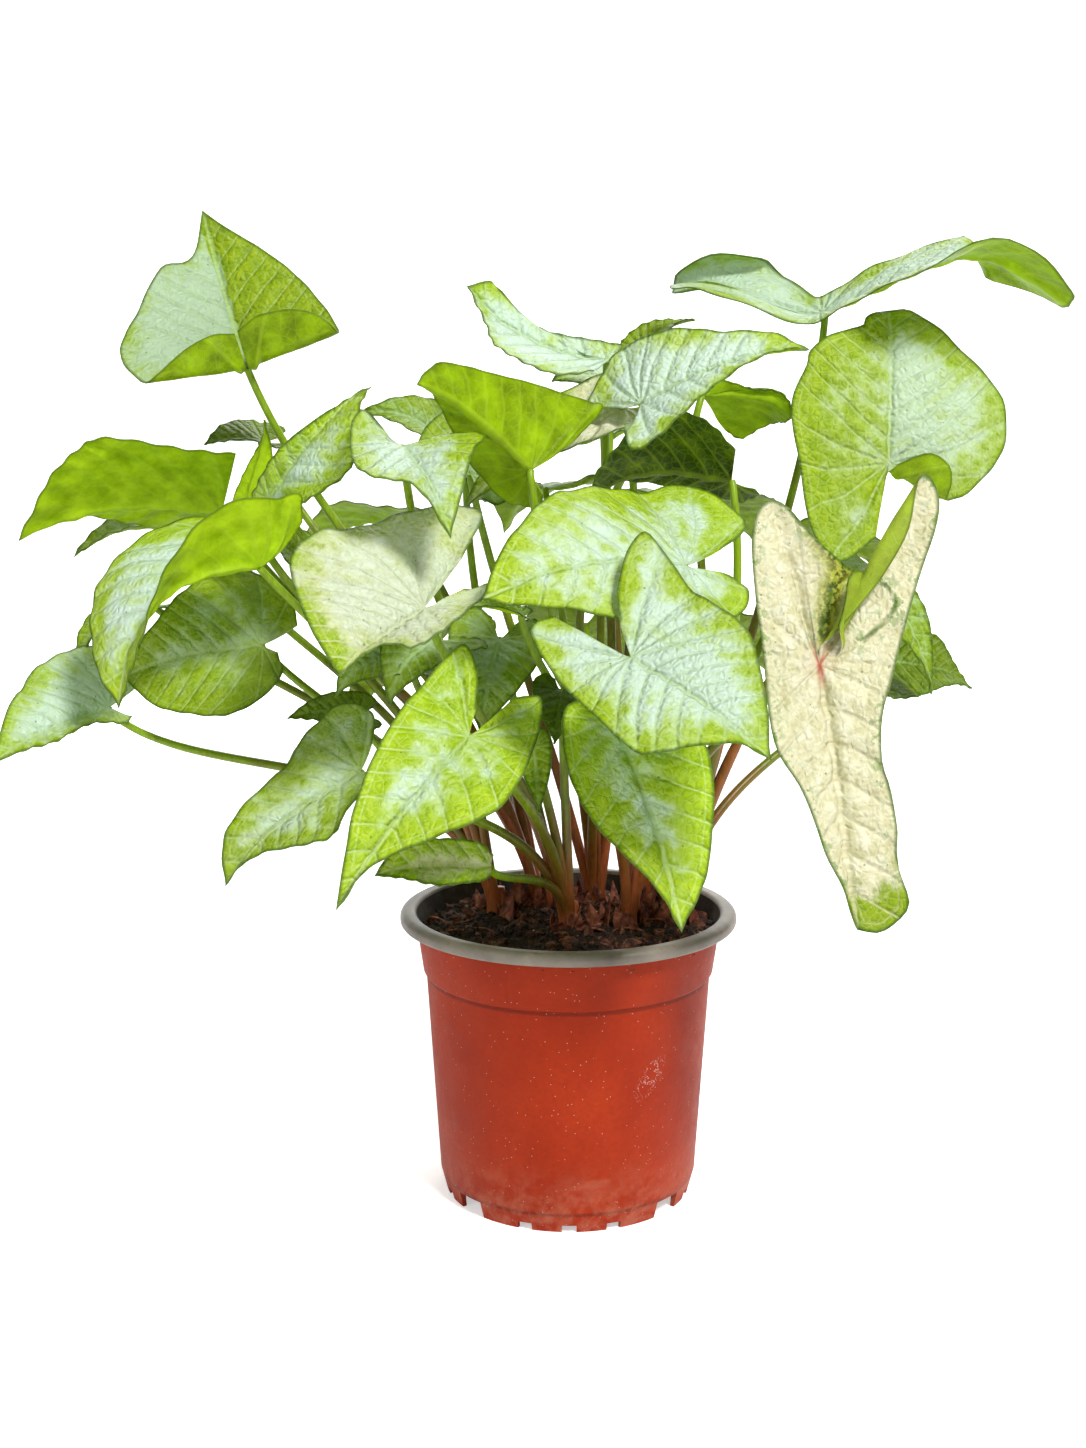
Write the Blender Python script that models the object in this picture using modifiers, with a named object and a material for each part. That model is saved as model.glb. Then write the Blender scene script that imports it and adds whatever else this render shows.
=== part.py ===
"""Arrowhead plant (Syngonium podophyllum) in a 12 cm plastic nursery pot.

The pot's axis is Z, its foot stands at Z 0, and the plant's front looks along -Y. The pot and the
potting mix are turned shapes. The plant is seven shoots, each a short crown with its leaf stalks,
and one blade for each stalk. A blade is a flat arrowhead outline that is folded along its midrib,
arched and waved, and then given its thickness. Sizes in the tables are millimetres.
"""

import math
from dataclasses import dataclass

import bmesh
import bpy
import numpy as np
from mathutils import Matrix, Vector

MM = 0.001
GAP = 0.3

# The pot
LIP_RADIUS = 60.0
LIP_DEPTH = 5.0
POT_HEIGHT = 103.0
COLLAR_RADIUS = 54.1
STEP_RADIUS = 51.7
STEP_HEIGHT = 81.0
STEP_EDGE = 0.8
BASE_RADIUS = 46.2
BASE_HEIGHT = 6.8
FLOOR_HEIGHT = 8.0
FOOT_RADIUS = 44.3
PAD_RADIUS = 31.0
PAD_SLOPE = 2.2
PAD_THICKNESS = 1.8
WALL = 1.5
POT_STEPS = 48
SHARP_ANGLE = 35
DRAIN_ANGLES = (49.5, 130.5, -49.5, -130.5)
DRAIN_WIDTH = 11.5
DRAIN_HEIGHT = 6.0
DRAIN_HOLE_RADIUS = 3.0
DRAIN_HOLE_PLACE = 38.0
NOTCH_ANGLES = (0, 20, -20, 70, -70, 90, -90, 110, -110, 160, -160, 180)
NOTCH_WIDTH = 5.0
NOTCH_HEIGHT = 2.6
FOOT_CUT_DEPTH = 8.0

# The potting mix
MIX_LEVEL = 95.5
MIX_CROWN = 2.5
MIX_RINGS = (1.0, 0.84, 0.69, 0.53, 0.36, 0.18)
MIX_STEPS = 30
CRUMB_HEIGHT = 1.1
CHIP_COUNT = 26
CHIP_LENGTHS = (3.5, 6.5)
CHIP_WIDTHS = (1.8, 3.0)
CHIP_SIDES = 5
CHIP_TILT = 75
CHIP_SINK = 0.3
CHIP_EDGE_MARGIN = 7.0
CHIP_CROWN_MARGIN = 4.5

# The shoots
CROWN_RADIUS = 5.2
CROWN_TAPER = 0.72
CROWN_FOOT = 86.0
CROWN_TOP = 107.0
CROWN_SIDES = 10
STALK_BASE_RADIUS = 2.0
STALK_TOP_RADIUS = 1.3
STALK_POINTS = 8
STALK_SPREAD = 2.6
STALK_SINK = 5.0
STALK_LEAN = 0.25
STALK_RISE = 0.42
STALK_ARRIVAL = 0.3
JOINT_CLEARANCE = 0.4

# The blades
BLADE_THICKNESS = 0.7
SPOKES = (0, 0.14, 0.3, 0.48, 0.66, 0.84, 1.0)
RINGS = (0.36, 0.7, 1.0)
ROLLED_SPOKES = (0, 0.1, 0.2, 0.31, 0.43, 0.55, 0.67, 0.78, 0.89, 1.0)
ROLLED_RINGS = (0.28, 0.52, 0.76, 1.0)
SMALL_LEAF = 30.0
SMALL_SPOKES = (0, 0.25, 0.5, 0.75, 1.0)
SMALL_RINGS = (0.5, 1.0)
WAVES = 9.0
SAG_WIDTH = 30.0
LOBE_SPAN = 25.0
CURL_START = 0.62
UNFOLDED_AT = 0.8

# Where each shoot's crown stands on the mix, seen from above
CROWNS = {
    "front": (1, -8),
    "front_right": (21, -5),
    "right": (37, 6),
    "middle": (11, 28),
    "left": (-9, 22),
    "far_left": (-25, 12),
    "back": (27, 30),
}


@dataclass
class Leaf:
    """One leaf: where its stalk meets the blade, its tip, the way its upper side looks, and its form.

    left and right are the flat margin's points from the tip round the lobe, each as (along the
    midrib from the joint, away from the midrib). A side without points gets a plain arrowhead.
    unfold is how much flatter each half is at the tip, and it starts at unfold_from of the length.
    Each roll is a line across the flat blade, past which it rolls upward: side (0 is both halves),
    point on the line, heading, radius and turn. A negative turn rolls downward. A roll whose point
    lies behind the joint works only behind it, and one whose point lies ahead only ahead.
    """

    name: str
    shoot: str
    joint: tuple
    tip: tuple
    face: tuple
    left: tuple = ()
    right: tuple = ()
    fold: tuple = (14, 14)
    sag: tuple = (0.12, 0.12)
    arch: float = 6.0
    lift: tuple = (0, 0)
    curl: float = 4.0
    wave: float = 1.2
    width: float = 0.0
    lobe: float = 0.0
    bow: tuple = (0, 0, 0)
    unfold: tuple = (0, 0)
    unfold_from: float = 0.0
    rolls: tuple = ()


LEAVES = (
    Leaf(
        "top_left", "left", (-110, 0, 293), (-129, 30, 346), (0.05, -0.8, 0.6), fold=(14, 22),
        sag=(0.1, 0.1), arch=-4, curl=-3,
        left=((49, 8), (46, 20), (28, 32), (14, 40), (1, 38), (-9, 28), (-17, 14), (-17, 5)),
        right=((44, 17), (22, 29), (-2, 34), (-13, 28), (-18, 14), (-17, 4)),
        rolls=((0, -1, 0, 180, 2.8, 125),),
    ),
    Leaf(
        "left_upper", "far_left", (-122, 12, 243), (-187, -14, 237), (-0.15, 0.62, 0.75),
        left=((58, 22), (48, 31), (40, 34), (16, 30), (-2, 31)),
        right=((44, 8), (31, 13), (16, 21), (1, 30), (-8, 25)), fold=(10, 18), arch=7, curl=3,
        bow=(0, 4, 0),
    ),
    Leaf(
        "left_back", "left", (-113, 45, 268), (-133, 40, 267), (0, -0.3, 0.9), width=16, lobe=10, arch=2,
        curl=1, wave=0.6,
    ),
    Leaf("left_tip", "far_left", (-141, 50, 236), (-184, 42, 229), (-0.1, -0.2, 0.9), arch=4, width=16),
    Leaf(
        "left_droop", "far_left", (-104, -23, 226), (-148, -46, 183), (-0.45, -0.4, 0.8),
        left=((56, 6), (40, 12), (22, 18), (4, 24), (-22, 22), (-19, 11)),
        right=((56, 14), (40, 30), (20, 34), (0, 28), (-14, 18)), sag=(0.1, 0.1), arch=16, lift=(2, 6),
        curl=2, fold=(84, 30), unfold=(74, 12),
    ),
    Leaf(
        "left_fold", "left", (-103, -2, 248), (-69, -13, 287), (0.2, -0.6, 0.75),
        left=((41, 2), (27, 4), (12, 7), (-3, 8), (-7, 5)),
        right=((45, 11), (38, 23), (29, 26), (14, 20), (6, 12)), fold=(16, 16), arch=3,
    ),
    Leaf(
        "left_strip", "left", (-112, 8, 247), (-103, 4, 275), (0.4, 0.6, 0.6), arch=2, wave=0.5, width=6,
        lobe=5,
    ),
    Leaf(
        "centre_left", "front", (-54, -39, 266), (-37, -67, 240), (0.15, -0.55, 0.8),
        left=((30, 8), (18, 16), (11, 24), (4, 20), (1, 9)),
        right=((25, 7), (19, 17), (8, 20), (-15, 12), (-21, 5), (-12, 2)), fold=(18, 8), arch=4, curl=3,
        bow=(-8, 20, 8),
    ),
    Leaf(
        "pale_left", "front", (-46, -62, 216), (-69, -96, 202), (-0.2, -0.7, 0.65),
        left=((26, 4), (25, 14), (12, 16), (-26, 8), (-19, 2)), fold=(8, 30), sag=(0.1, 0.1), arch=1,
        right=((33, 23), (23, 37), (3, 43), (-14, 37), (-37, 31), (-54, 17), (-30, 7)),
    ),
    Leaf(
        "left_disc", "far_left", (-109, 10, 196), (-157, 0, 188), (0, -0.8, 0.6),
        left=((41, 16), (30, 24), (18, 28), (6, 24), (-5, 13), (-5, 4)),
        right=((34, 15), (25, 25), (11, 34), (-1, 33), (-13, 16), (-14, 6)), fold=(8, 8), arch=3,
    ),
    Leaf("left_behind", "far_left", (-150, 24, 209), (-178, 13, 190), (-0.3, -0.45, 0.8), width=11),
    Leaf(
        "left_far", "far_left", (-160, -6, 176), (-190, -40, 165), (0.1, -0.65, 0.7),
        left=((36, 3), (26, 7), (11, 6), (0, 9), (-5, 7)),
        right=((31, 14), (24, 18), (12, 26), (-8, 29), (-20, 18), (-19, 5)), fold=(10, 14), arch=2,
    ),
    Leaf(
        "left_low", "front", (-68, -52, 162), (-110, -74, 132), (-0.15, -0.7, 0.7),
        left=((45, 2), (32, 14), (24, 20), (13, 13), (0, 7), (-3, 3)),
        right=((48, 8), (38, 12), (18, 16), (6, 23), (-11, 27), (-17, 16), (-9, 6)), fold=(14, 12), arch=5,
        curl=5,
    ),
    Leaf(
        "front_left", "front", (-32, -72, 177), (-71, -100, 129), (0.05, -0.85, 0.5),
        left=((52, 2), (34, 14), (17, 24), (-11, 18), (-25, 10), (-20, 3)),
        right=((52, 7), (42, 12), (24, 18), (1, 22), (-23, 21), (-20, 12), (-9, 4)), fold=(16, 14), arch=9,
        curl=2,
    ),
    Leaf(
        "low_olive", "front", (-26, -46, 129), (-62, -62, 132), (0.1, -0.7, 0.7),
        left=((33, 4), (22, 10), (8, 8), (2, 5)), right=((31, 7), (18, 9), (5, 8), (-1, 4)), arch=3,
        wave=0.6,
    ),
    Leaf(
        "front_right", "front_right", (13, -64, 181), (34, -90, 120), (0.1, -0.86, 0.45),
        left=((58, 10), (44, 16), (30, 21), (16, 23), (2, 19), (-3, 9)),
        right=((55, 6), (35, 18), (19, 21), (5, 19), (-7, 13), (-8, 3)), arch=9,
    ),
    Leaf(
        "front_mid", "front_right", (17, -92, 204), (54, -128, 182), (-0.1, -0.72, 0.68),
        left=((44, 12), (25, 26), (12, 29), (-4, 30), (-30, 36), (-23, 18), (-12, 7)),
        right=((48, 4), (37, 20), (29, 26), (7, 23), (-16, 19), (-30, 13), (-30, 4)), fold=(8, 10), arch=3,
        bow=(-8, 8, 5), lift=(7, 3),
    ),
    Leaf(
        "centre_big", "front_right", (37, -40, 228), (-27, -74, 222), (0.05, -0.66, 0.75),
        left=((66, 7), (49, 18), (32, 27), (10, 29), (-12, 21), (-18, 12), (-12, 4)),
        right=((62, 12), (52, 20), (37, 31), (19, 36), (-1, 37), (-22, 37), (-31, 14), (-17, 5)),
        fold=(4, 8), sag=(0.2, 0.1), arch=7, lift=(4, 4), curl=3,
    ),
    Leaf(
        "curled_bit", "middle", (-16, -30, 211), (-38, -34, 214), (0, -0.3, 0.9), width=5, lobe=4,
        bow=(8, -8, 0), arch=2, curl=1, wave=0.6,
    ),
    Leaf(
        "cream_right", "front_right", (74, -86, 201), (86.1, -94, 121.2), (0.05, -0.92, 0.3),
        fold=(12, 10), arch=4, wave=1.8, rolls=((-1, 0, 0, 129, 1.6, 140), (1, 0, 0, -59, 2.4, 140)),
        curl=0,
        right=(
            (72, 2), (66, 4), (57, 7), (48, 9.5), (35, 12.5), (23, 18), (9, 18), (-7, 16.5), (-23, 16),
            (-40, 14.5), (-49, 11), (-51, 6), (-48, 2), (-42, -2), (-34, -8), (-28, -14), (-21, -23),
            (-13, -25), (-5, -14),
        ),
        left=(
            (83, 7), (80, 13), (75, 16.6), (66, 15.4), (59, 14.6), (52, 15.6), (40, 15), (31, 13.5),
            (18, 15.5), (8, 20), (-3, 25), (-12, 29), (-24, 35), (-35, 41), (-44, 44), (-52, 41),
            (-48, 33), (-42, 23), (-32, 14), (-20, 7), (-9, 2),
        ),
    ),
    Leaf(
        "right_round", "right", (108.4, -8, 260.1), (110.9, 10, 313.7), (0.05, -0.93, 0.3), fold=(8, 8),
        arch=2,
        left=(
            (53, 8), (49, 10), (45, 20), (38, 28), (32, 29.5), (21, 34), (11, 34), (-1, 31), (-24, 26),
            (-35, 16), (-26, 4),
        ),
        right=(
            (55, 8), (47, 17), (38, 26), (30, 35), (21, 40), (9, 40), (2, 37), (-4, 32), (-10, 26),
            (-12, 20), (-18, 15), (-21, 9), (-18, 2), (-8, -1),
        ),
        rolls=((1, -2, 3, 205, 2.2, 165),),
    ),
    Leaf(
        "top_right", "right", (89.9, 24, 312.5), (155, -15.4, 334.6), (-0.2, -0.45, 0.85), bow=(0, 4, 0),
        wave=1.8, fold=(6, 20), unfold=(48, -28),
        left=(
            (77, 6), (62, 16), (45, 21), (22, 19), (6, 12), (-4, 9), (-12, 15), (-28, 24), (-42, 21),
            (-51, 12), (-50, 5), (-30, 1),
        ),
        rolls=((-1, -5, -21, -106, 2.4, 130),), arch=3, curl=27, unfold_from=0.62, lift=(19, 20),
        right=(
            (77, 8), (66, 18), (48, 21), (24, 17), (4, 13), (-8, 13), (-26, 15), (-40, 12), (-46, 6),
            (-42, 2), (-26, 0.3),
        ),
    ),
    Leaf(
        "top_curl", "middle", (14, 22, 296), (-36, 24, 320), (0.15, -0.6, 0.75),
        left=((45, 10), (38, 21), (26, 23), (13, 20), (2, 12)),
        right=((50, 9), (37, 8), (27, 7), (11, 7), (-3, 7)), fold=(18, 14), arch=-6, curl=-2,
    ),
    Leaf(
        "centre_funnel", "middle", (-13, -28, 258), (-48, -50, 287), (-0.25, 0.35, 0.85),
        left=((46, 9), (37, 12), (25, 16), (11, 24), (-5, 34), (-6, 20)), fold=(60, 10), arch=3, curl=3,
        width=18, lobe=14,
    ),
    Leaf(
        "upper_mid", "middle", (24, -10, 280), (77, -24, 299), (-0.05, -0.66, 0.7),
        left=((50, 7), (32, 13), (17, 21), (-4, 26), (-14, 19), (-19, 11), (-8, 3)),
        right=((50, 2), (32, 10), (20, 16), (6, 24), (-3, 24), (-6, 11)), arch=5, curl=3,
        bow=(-16, 16, 10),
    ),
    Leaf(
        "upper_tip", "back", (27, 60, 303), (48, 66, 314), (0, -0.3, 0.9), width=9, bow=(22, -16, 5),
        arch=2, curl=1, wave=0.6,
    ),
    Leaf(
        "pale_behind", "middle", (16, 46, 291), (-6, 40, 290), (0, -0.6, 0.75), width=14, bow=(-4, -4, 0),
        arch=2, curl=1, wave=0.6,
    ),
    Leaf(
        "cream_behind", "middle", (19, 11, 279), (-38, 1, 246), (-0.1, -0.7, 0.7), fold=(20, 20), lobe=8,
        width=16,
    ),
    Leaf(
        "dark_centre", "right", (56, 0, 254), (5, -6, 250), (0, 0.62, 0.75),
        left=((46, 11), (38, 17), (28, 25), (18, 26), (9, 23), (1, 14)), arch=7, lobe=10, width=13,
    ),
    Leaf(
        "olive_right", "back", (48, 30, 284), (81, 24, 279), (0.1, 0.55, 0.75),
        left=((29, 11), (16, 30), (8, 24)), right=((28, 4), (19, 4), (8, 5), (1, 5)), arch=3,
    ),
    Leaf("green_back", "left", (-36.5, 40, 260), (-74, 30, 280.3), (0, -0.5, 0.8), width=20, lobe=12),
    Leaf("grey_back", "middle", (-35, 16, 257), (-32, 34, 284), (0, -0.7, 0.7), width=20, lobe=12),
    Leaf(
        "right_silver", "right", (110, 28, 223), (133, 14, 179), (0.3, -0.7, 0.6),
        left=((39, 4), (25, 7), (11, 8), (-2, 8)), arch=4, width=16, lobe=12,
    ),
    Leaf(
        "right_dark", "right", (120, 46, 186), (152, 38, 179), (0, -0.6, 0.75),
        left=((24, 6), (16, 13), (6, 14), (-2, 10)), right=((23, 11), (15, 20), (7, 25), (2, 20)), arch=3,
    ),
    Leaf(
        "left_gap", "left", (-93, 12, 225), (-109, 8, 237), (-0.2, -0.5, 0.8), width=12, arch=2, curl=1,
        wave=0.6,
    ),
    Leaf("inner_left", "far_left", (-44, -18, 201), (-61, -34, 183), (-0.1, -0.6, 0.75), width=18),
    Leaf("inner_mid", "front", (-24, -8, 200), (-30, -26, 170), (0, -0.85, 0.5), width=18),
    Leaf(
        "inner_narrow", "front", (-12, -40, 168), (-10, -50, 147), (0, -0.9, 0.4), width=6, arch=2, curl=1,
        wave=0.6,
    ),
    Leaf(
        "inner_dark", "front", (-3, -30, 185), (-5, -40, 169), (0, -0.9, 0.4), width=10, arch=2, curl=1,
        wave=0.6,
    ),
    Leaf("bright_left", "far_left", (-56, -14, 195), (-79, -26, 185), (-0.1, -0.7, 0.7), width=16),
    Leaf(
        "left_sliver", "far_left", (-74, 0, 173), (-98, -8, 173), (0, -0.6, 0.8), width=10, arch=2, curl=1,
        wave=0.6,
    ),
    Leaf(
        "rear_left", "left", (-60, 72, 238), (-112, 120, 220), (-0.3, 0.4, 0.85), width=25, lobe=22,
        bow=(4, 0, 0),
    ),
    Leaf("rear_mid", "middle", (-8, 82, 250), (-26, 150, 232), (-0.1, 0.55, 0.8), width=27, lobe=24),
    Leaf("rear_right", "back", (50, 75, 245), (88, 130, 222), (0.3, 0.45, 0.8), width=26, lobe=22),
    Leaf("rear_low_left", "left", (-50, 70, 190), (-92, 104, 152), (-0.4, 0.6, 0.6), width=22, lobe=20),
    Leaf("rear_low", "back", (8, 84, 196), (6, 128, 150), (0, 0.75, 0.6), width=24, lobe=20),
    Leaf("rear_low_right", "back", (62, 66, 192), (108, 98, 158), (0.4, 0.6, 0.6), width=22, lobe=20),
    Leaf(
        "rear_top", "back", (14, 68, 270), (34, 126, 268), (0, 0.2, 0.95), width=22, lobe=18,
        bow=(0, -8, 5),
    ),
    Leaf("rear_far_right", "right", (92, 50, 232), (140, 84, 205), (0.4, 0.3, 0.8), width=22, lobe=18),
)


def unit(vector):
    return np.asarray(vector, float) / np.linalg.norm(vector)


def leaf_frame(leaf):
    """The blade's length, the way it runs, its upper side's normal, and its right."""
    run = np.subtract(leaf.tip, leaf.joint).astype(float)
    length = np.linalg.norm(run)
    run = run / length
    face = np.array(leaf.face, float)
    normal = unit(face - face.dot(run) * run)
    return length, run, normal, np.cross(run, normal)


def half_margin(leaf, side):
    """One half of the flat margin as points (along, across), from the tip to the sinus."""
    length = leaf_frame(leaf)[0]
    points = leaf.left if side < 0 else leaf.right
    if not points:
        width = leaf.width or 0.36 * length
        lobe = leaf.lobe or 0.3 * length
        points = (
            (0.86 * length, 0.15 * width),
            (0.62 * length, 0.52 * width),
            (0.3 * length, 0.88 * width),
            (-0.05 * length, width),
            (-0.7 * lobe, 0.85 * width),
            (-lobe, 0.55 * width),
            (-0.75 * lobe, 0.25 * width),
        )
    return np.array(((length, 0.0), *points), float)


def smooth_through(points, at):
    """A curve through the points, read at each value from 0 to 1."""
    padded = np.vstack((2 * points[0] - points[1], points, 2 * points[-1] - points[-2]))
    spans = np.linalg.norm(np.diff(points, axis=0), axis=1) ** 0.5
    knots = np.concatenate(([0], np.cumsum(spans))) / spans.sum()
    at = np.asarray(at, float)
    i = np.clip(np.searchsorted(knots, at, side="right") - 1, 0, len(points) - 2)
    u = ((at - knots[i]) / (knots[i + 1] - knots[i]))[..., None]
    a, b, c, d = padded[i], padded[i + 1], padded[i + 2], padded[i + 3]
    return 0.5 * (2 * b + (c - a) * u + (2 * a - 5 * b + 4 * c - d) * u**2 + (3 * b - a - 3 * c + d) * u**3)


def roll_up(leaf, along, across, side):
    """Draws flat points in past each roll's line, and gives how far they rise off the blade."""
    raised = np.zeros_like(along)
    for roll_side, roll_along, roll_across, heading, radius, turn in leaf.rolls:
        forward, sideways = math.cos(math.radians(heading)), math.sin(math.radians(heading))
        past = (along - roll_along) * forward + (across * side - roll_across) * sideways
        reached = (side * roll_side >= 0) & ((along < 0) == (roll_along <= 0))
        past = np.where(reached, np.clip(past, 0, None), 0)
        turned_by = np.minimum(past / radius, math.radians(abs(turn)))
        beyond = past - radius * turned_by
        drawn_in = radius * np.sin(turned_by) + beyond * np.cos(turned_by) - past
        along = along + drawn_in * forward
        across = across + drawn_in * sideways * side
        risen = radius * (1 - np.cos(turned_by)) + beyond * np.sin(turned_by)
        raised = raised + math.copysign(1, turn) * risen
    return along, across, raised


def bend_blade(leaf, along, across, side, margin_at, reach):
    """Places flat points of the blade: arched along the midrib, folded at it, and waved at the margin."""
    length, run, normal, right = leaf_frame(leaf)
    along, across, raised = roll_up(leaf, along, across, side)
    ahead = np.clip(along / length, 0, None)
    behind = np.clip(along / length, None, 0)
    lift = np.where(side < 0, *leaf.lift)
    lobe_reach = -behind * length / LOBE_SPAN
    tip_reach = np.clip((ahead - CURL_START) / (1 - CURL_START), 0, 1)
    rise = leaf.arch * 4 * (ahead * (1 - ahead) + behind / (1 - 3 * behind))
    rise += lift * lobe_reach**2 * np.exp(1 - lobe_reach) - leaf.curl * tip_reach**2
    slope = leaf.arch * 4 * np.where(along > 0, 1 - 2 * ahead, 1 / (1 - 3 * behind) ** 2) / length
    slope -= lift * (2 * lobe_reach - lobe_reach**2) * np.exp(1 - lobe_reach) / LOBE_SPAN
    slope -= leaf.curl * 2 * tip_reach / ((1 - CURL_START) * length)
    tilt = np.arctan(slope)[..., None]
    opened = np.clip((ahead - leaf.unfold_from) / (UNFOLDED_AT - leaf.unfold_from), 0, 1)
    fold = np.where(side < 0, *leaf.fold) - np.where(side < 0, *leaf.unfold) * opened**2 * (3 - 2 * opened)
    fold = np.radians(fold) - np.where(side < 0, *leaf.sag) * across / SAG_WIDTH
    out = (across * np.cos(fold) - raised * np.sin(fold)) * side
    high = across * np.sin(fold) + raised * np.cos(fold)
    high += leaf.wave * reach**2 * np.sin(WAVES * margin_at * side)
    upward = np.cos(tilt) * normal - np.sin(tilt) * run
    return (
        np.array(leaf.joint, float)
        + along[..., None] * run
        + rise[..., None] * normal
        + out[..., None] * right
        + high[..., None] * upward
    )


def blade_sheet(leaf, spokes, rings):
    """The blade's open middle surface: spokes from the joint to the margin, crossed by rings."""
    margin, side, margin_at = [], [], []
    for sign in (-1, 1):
        half = smooth_through(half_margin(leaf, sign), spokes)
        order = range(len(spokes) - 1, 0, -1) if sign < 0 else range(len(spokes))
        for i in order:
            margin.append(half[i])
            side.append(sign)
            margin_at.append(spokes[i])
    margin = np.array(margin)
    reach = np.broadcast_to(np.array(rings), (len(margin), len(rings)))
    along = margin[:, :1] * reach
    across = margin[:, 1:] * reach
    side = np.array(side)[:, None] * np.ones_like(reach)
    margin_at = np.array(margin_at)[:, None] * np.ones_like(reach)
    points = bend_blade(leaf, along, across, side, margin_at, reach)
    faces = []
    rows, columns = reach.shape
    for i in range(rows - 1):
        first = 1 + i * columns
        following = first + columns
        faces.append((0, following, first))
        for j in range(columns - 1):
            near, far = first + j, first + j + 1
            next_near, next_far = following + j, following + j + 1
            if i < rows // 2:
                faces += [(near, next_near, far), (far, next_near, next_far)]
            else:
                faces += [(near, next_far, far), (near, next_near, next_far)]
    return np.vstack((np.array(leaf.joint, float), points.reshape(-1, 3))), faces


def stalk_route(leaf):
    """The stalk's middle line, from inside the crown to just under the blade's joint."""
    centre = np.array((*CROWNS[leaf.shoot], 0.0))
    joint = np.array(leaf.joint, float)
    length, run, normal, right = leaf_frame(leaf)
    away = unit(joint[:2] - centre[:2])
    base = centre + (*(away * STALK_SPREAD), CROWN_TOP - STALK_SINK)
    span = joint - base
    distance = np.linalg.norm(span)
    arrival = unit(unit(span) + 0.7 * normal + 0.2 * run)
    lean = STALK_TOP_RADIUS * math.sqrt(max(0.0, 1 - float(arrival.dot(normal)) ** 2))
    end = joint - normal * (BLADE_THICKNESS / 2 + JOINT_CLEARANCE + lean)
    first = base + unit((*(away * STALK_LEAN), 1)) * distance * STALK_RISE
    second = end - arrival * distance * STALK_ARRIVAL
    t = np.linspace(0, 1, STALK_POINTS)[:, None]
    route = (1 - t) ** 3 * base + 3 * (1 - t) ** 2 * t * first + 3 * (1 - t) * t**2 * second + t**3 * end
    return route + 16 * t**2 * (1 - t) ** 2 * np.array(leaf.bow, float)


def start_scene():
    for obj in list(bpy.data.objects):
        bpy.data.objects.remove(obj, do_unlink=True)
    groups = []
    for title in ("Arrowhead plant", "Cutters"):
        group = bpy.data.collections.new(title)
        bpy.context.scene.collection.children.link(group)
        groups.append(group)
    return groups


PARTS, CUTTERS = start_scene()


def move_to(group, obj):
    for old in list(obj.users_collection):
        old.objects.unlink(obj)
    group.objects.link(obj)


def finish(title, colour, roughness):
    material = bpy.data.materials.new(title)
    material.use_nodes = True
    shader = material.node_tree.nodes["Principled BSDF"]
    shader.inputs["Base Color"].default_value = (*colour, 1)
    shader.inputs["Roughness"].default_value = roughness
    shader.inputs["Metallic"].default_value = 0
    material.diffuse_color = (*colour, 1)
    return material


def add_part(name, mesh, material):
    part = bpy.data.objects.new(name, mesh)
    part.data.materials.append(material)
    PARTS.objects.link(part)
    return part


def shape_of(obj):
    """The object's mesh as its modifiers or its bevel leave it."""
    bpy.context.view_layer.update()
    return bpy.data.meshes.new_from_object(obj.evaluated_get(bpy.context.evaluated_depsgraph_get()))


def turned(name, profile, steps):
    """A turned mesh from (radius, height) points in millimetres, which start and end on the axis."""
    line = bpy.data.meshes.new(name)
    points = [(radius * MM, 0, height * MM) for radius, height in profile]
    line.from_pydata(points, [(i, i + 1) for i in range(len(points) - 1)], [])
    obj = bpy.data.objects.new(name, line)
    bpy.context.scene.collection.objects.link(obj)
    screw = obj.modifiers.new("Turn", "SCREW")
    screw.steps = steps
    screw.render_steps = steps
    screw.use_merge_vertices = True
    screw.merge_threshold = 0.00005
    mesh = shape_of(obj)
    bpy.data.objects.remove(obj, do_unlink=True)
    bpy.data.meshes.remove(line)
    mesh.name = name
    return mesh


def apply_boolean(obj, tools, operation, solver):
    """Cuts or joins all the tools in one step, and removes them."""
    group = bpy.data.collections.new(obj.name + " " + operation.lower())
    CUTTERS.children.link(group)
    for tool in tools:
        tool.hide_render = True
        tool.display_type = "WIRE"
        move_to(group, tool)
    step = obj.modifiers.new("Step", "BOOLEAN")
    step.operation = operation
    step.solver = solver
    step.operand_type = "COLLECTION"
    step.collection = group
    mesh = shape_of(obj)
    obj.modifiers.clear()
    old = obj.data
    obj.data = mesh
    bpy.data.meshes.remove(old)
    for tool in tools:
        bpy.data.objects.remove(tool, do_unlink=True)
    bpy.data.collections.remove(group)


def box(name, size, place, angle):
    """A box in millimetres, placed in front of the pot and then turned about the pot's axis."""
    bpy.ops.mesh.primitive_cube_add(size=1)
    obj = bpy.context.active_object
    obj.name = name
    turn = Matrix.Rotation(math.radians(angle), 4, "Z")
    shape = Matrix.Translation(Vector(place) * MM) @ Matrix.Diagonal((*(Vector(size) * MM), 1))
    obj.data.transform(turn @ shape)
    return obj


def upright_cone(name, radii, heights, place, sides):
    """A cylinder or cone in millimetres from its lower to its upper height at the place."""
    low, high = heights
    bpy.ops.mesh.primitive_cone_add(
        vertices=sides,
        radius1=radii[0] * MM,
        radius2=radii[1] * MM,
        depth=(high - low) * MM,
    )
    obj = bpy.context.active_object
    obj.name = name
    obj.data.transform(Matrix.Translation(Vector((place[0], place[1], (low + high) / 2)) * MM))
    return obj


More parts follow.
